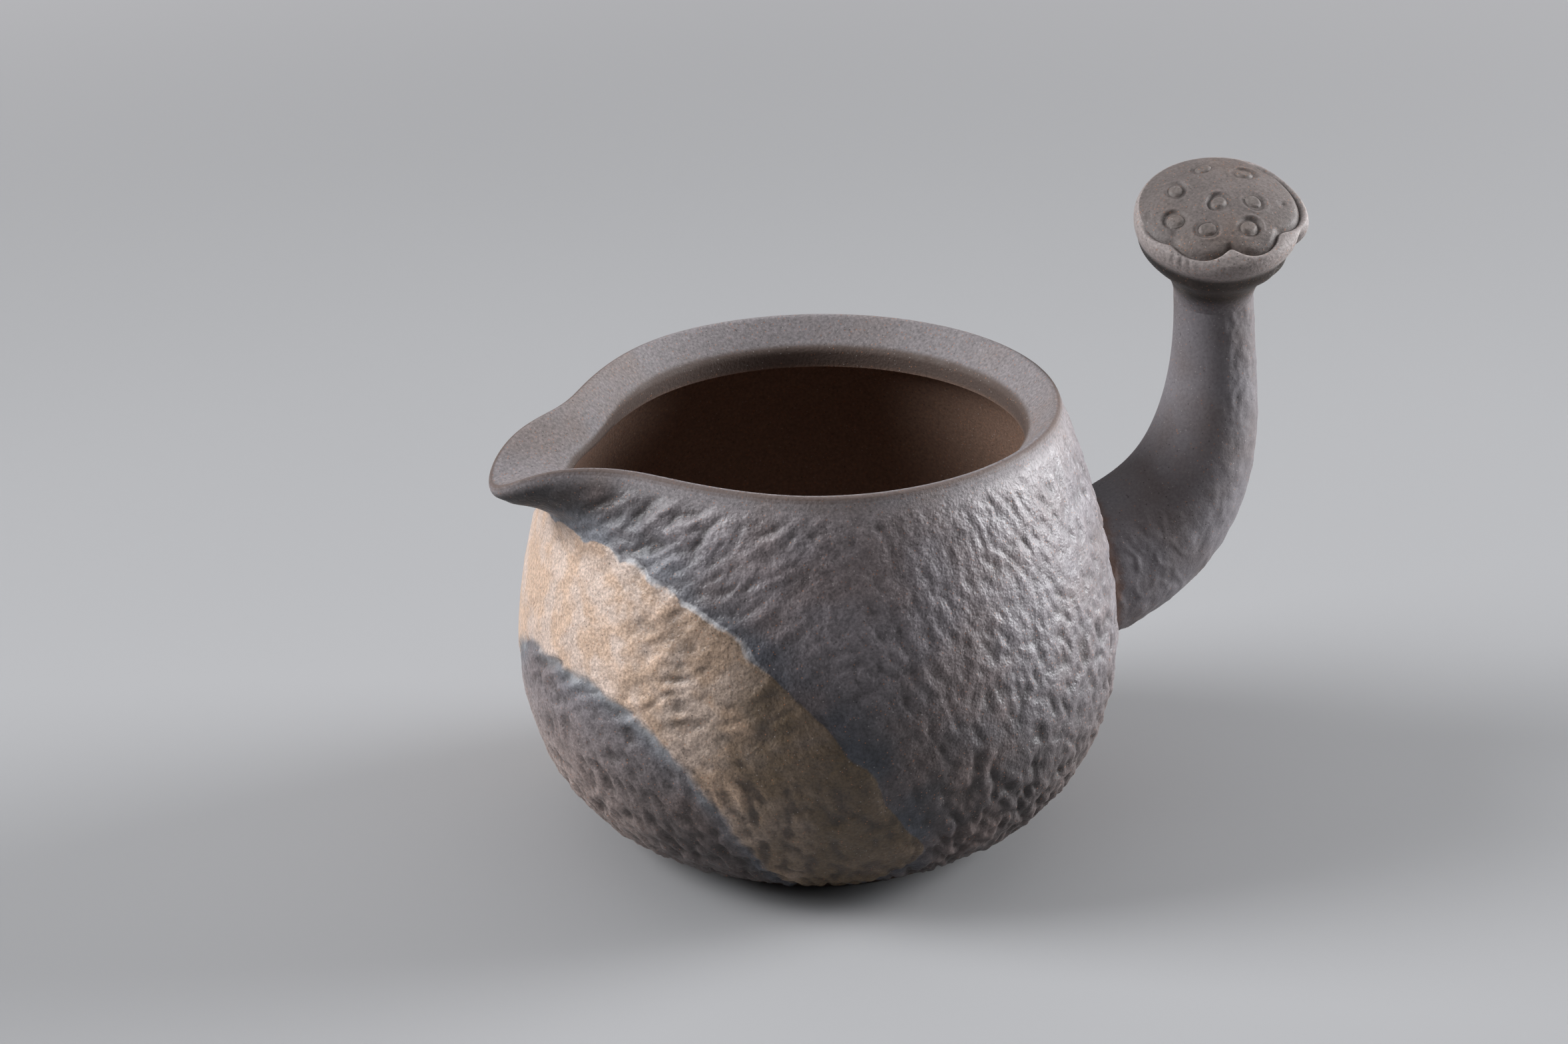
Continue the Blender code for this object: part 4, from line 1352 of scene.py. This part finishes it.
seed_share = np.linspace(1, SEED_MIDDLE, SEED_ROWS)[:, None]
seed_bearing = full_turn(SEED_COLUMNS)
# Painted shade round the edge of each seed
seed_edge_shade = -SEED_EDGE_SHADE * ease(seed_share, *SEED_EDGE_SHADE_REACH) + np.zeros(SEED_COLUMNS)
for number, (seed_x, seed_y) in enumerate(seed_spots, 1):
    seed_rows = on_axis(seed_bearing, SEED_RADIUS * seed_share * seed_oval(seed_bearing, number), 0.0)
    seed_rows = seed_rows + np.array([seed_x, seed_y, SEED_PROUD])
    seed_rows[..., 2] += dome(np.hypot(seed_rows[..., 0], seed_rows[..., 1]))
    seed_rows[..., 2] -= SEED_ROUND * ease(seed_share, *SEED_ROUND_REACH)
    seed_rows[..., 2] -= SEED_TILT * seed_share * np.cos(seed_bearing - TILT_TURN * number)
    seed_foot = seed_rows[:1] - np.array([0.0, 0.0, SEED_SINK])
    seed_level = dome(np.hypot(seed_x, seed_y))
    pod_seed = clay_piece(
        "pod_seed_%d" % number,
        SEED_CLAY,
        on_pod(np.concatenate([seed_foot, seed_rows])),
        on_pod([seed_x, seed_y, seed_level - SEED_UNDER]),
        on_pod([seed_x, seed_y, seed_level + SEED_PROUD]),
        sharp=SEED_SHARP,
        relief=np.concatenate([seed_edge_shade[:1], seed_edge_shade]),
    )
    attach(pod_seed, "root")
    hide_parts("seed_%d" % number)


# Studio
# A plain floor of pale card that fades into the backdrop, and the camera at the photo's angle.
# Soft boxes stand to the left and right, and a wide one hangs above.

FLOOR_SIZE = 6.0
CARD_GREY = srgb(156, 155, 156)
CARD_PALE = srgb(162, 161, 162)
CARD_CLOUD = 0.3
CARD_FADE = (0.2, 0.58)
BACKDROP = srgb(188, 188, 191)
AIR_LIGHT = (0.055, 0.055, 0.056, 1.0)
LAMP_COLOUR = (0.95, 0.975, 1.0)
AIM = Vector((0.0, 0.0, 0.04))
CAMERA_AZIMUTH = np.radians(-20)
CAMERA_ELEVATION = np.radians(23.623)
CAMERA_ROLL = -0.02
CAMERA_DISTANCE = 0.7
CAMERA_ASIDE = -5.07 * MM
CAMERA_ABOVE = 11.176 * MM
CAMERA_LENS = 106.74
SENSOR_WIDTH = 36.0
TARGET_HEIGHT = 35.0 * MM


def floor_card():
    """Matt pale grey card with a faint unevenness, which fades to the backdrop away from the object."""
    material, tree, shader = new_matt("studio_card", gloss=0.2)
    shader.inputs["Roughness"].default_value = 0.85
    place = place_of(tree)
    tree.links.new(blend(cloud(place, CARD_CLOUD), CARD_GREY, CARD_PALE), shader.inputs["Base Color"])
    away = put(tree, "VectorMath", {0: place}, operation="LENGTH").outputs["Value"]
    far = product(ramp(away, *CARD_FADE), put(tree, "LightPath").outputs["Is Camera Ray"])
    backdrop = put(tree, "Emission", {"Color": BACKDROP}).outputs[0]
    fading = put(tree, "MixShader", {0: far, 1: shader.outputs[0], 2: backdrop})
    tree.links.new(fading.outputs[0], tree.nodes["Material Output"].inputs["Surface"])
    return material


def soft_box(name, place, size, power, spread=180):
    """A rectangular lamp that faces the object from a place to the camera's right, back and up.

    A grid holds its light to a spread in degrees.
    """
    lamp = bpy.data.lights.new(name, "AREA")
    lamp.shape = "RECTANGLE"
    lamp.size, lamp.size_y = size
    lamp.energy = power
    lamp.color = LAMP_COLOUR
    lamp.spread = np.radians(spread)
    box = bpy.data.objects.new(name, lamp)
    stand = Matrix.Rotation(CAMERA_AZIMUTH, 3, "Z") @ Vector(place)
    facing = (AIM - stand).to_track_quat("-Z", "Y")
    box.matrix_world = Matrix.Translation(stand) @ facing.to_matrix().to_4x4()
    bpy.context.scene.collection.objects.link(box)


half = FLOOR_SIZE / 2
floor_mesh = bpy.data.meshes.new("studio_floor")
floor_mesh.from_pydata(
    [(-half, -half, 0), (half, -half, 0), (half, half, 0), (-half, half, 0)], [], [(0, 1, 2, 3)]
)
add_piece("studio_floor", floor_mesh, floor_card())

soft_box("right_box", (1.07, 0.29, 0.32), size=(0.58, 0.64), power=3.75, spread=60)
soft_box("left_box", (-1.07, -0.04, 0.7), size=(0.65, 0.72), power=3.0, spread=60)
soft_box("top_box", (0.0, 0.3, 2.6), size=(4.2, 4.2), power=42)

world = bpy.data.worlds.new("studio_air")
world.use_nodes = True
air = world.node_tree
seen = put(air, "LightPath").outputs["Is Camera Ray"]
air.links.new(blend(seen, AIR_LIGHT, BACKDROP), air.nodes["Background"].inputs["Color"])
bpy.context.scene.world = world

lens = bpy.data.cameras.new("photo_camera")
lens.lens = CAMERA_LENS
lens.sensor_width = SENSOR_WIDTH
lens.clip_start = 0.01
photo_camera = bpy.data.objects.new("photo_camera", lens)
swing = Matrix.Rotation(CAMERA_AZIMUTH, 4, "Z")
tip = Matrix.Rotation(np.pi / 2 - CAMERA_ELEVATION, 4, "X")
roll = Matrix.Rotation(CAMERA_ROLL, 4, "Z")
target = Matrix.Translation((0, 0, TARGET_HEIGHT))
back_off = Matrix.Translation((CAMERA_ASIDE, CAMERA_ABOVE, CAMERA_DISTANCE))
photo_camera.matrix_world = target @ swing @ tip @ roll @ back_off
bpy.context.scene.collection.objects.link(photo_camera)
bpy.context.scene.camera = photo_camera
bpy.context.scene.view_settings.view_transform = "Standard"
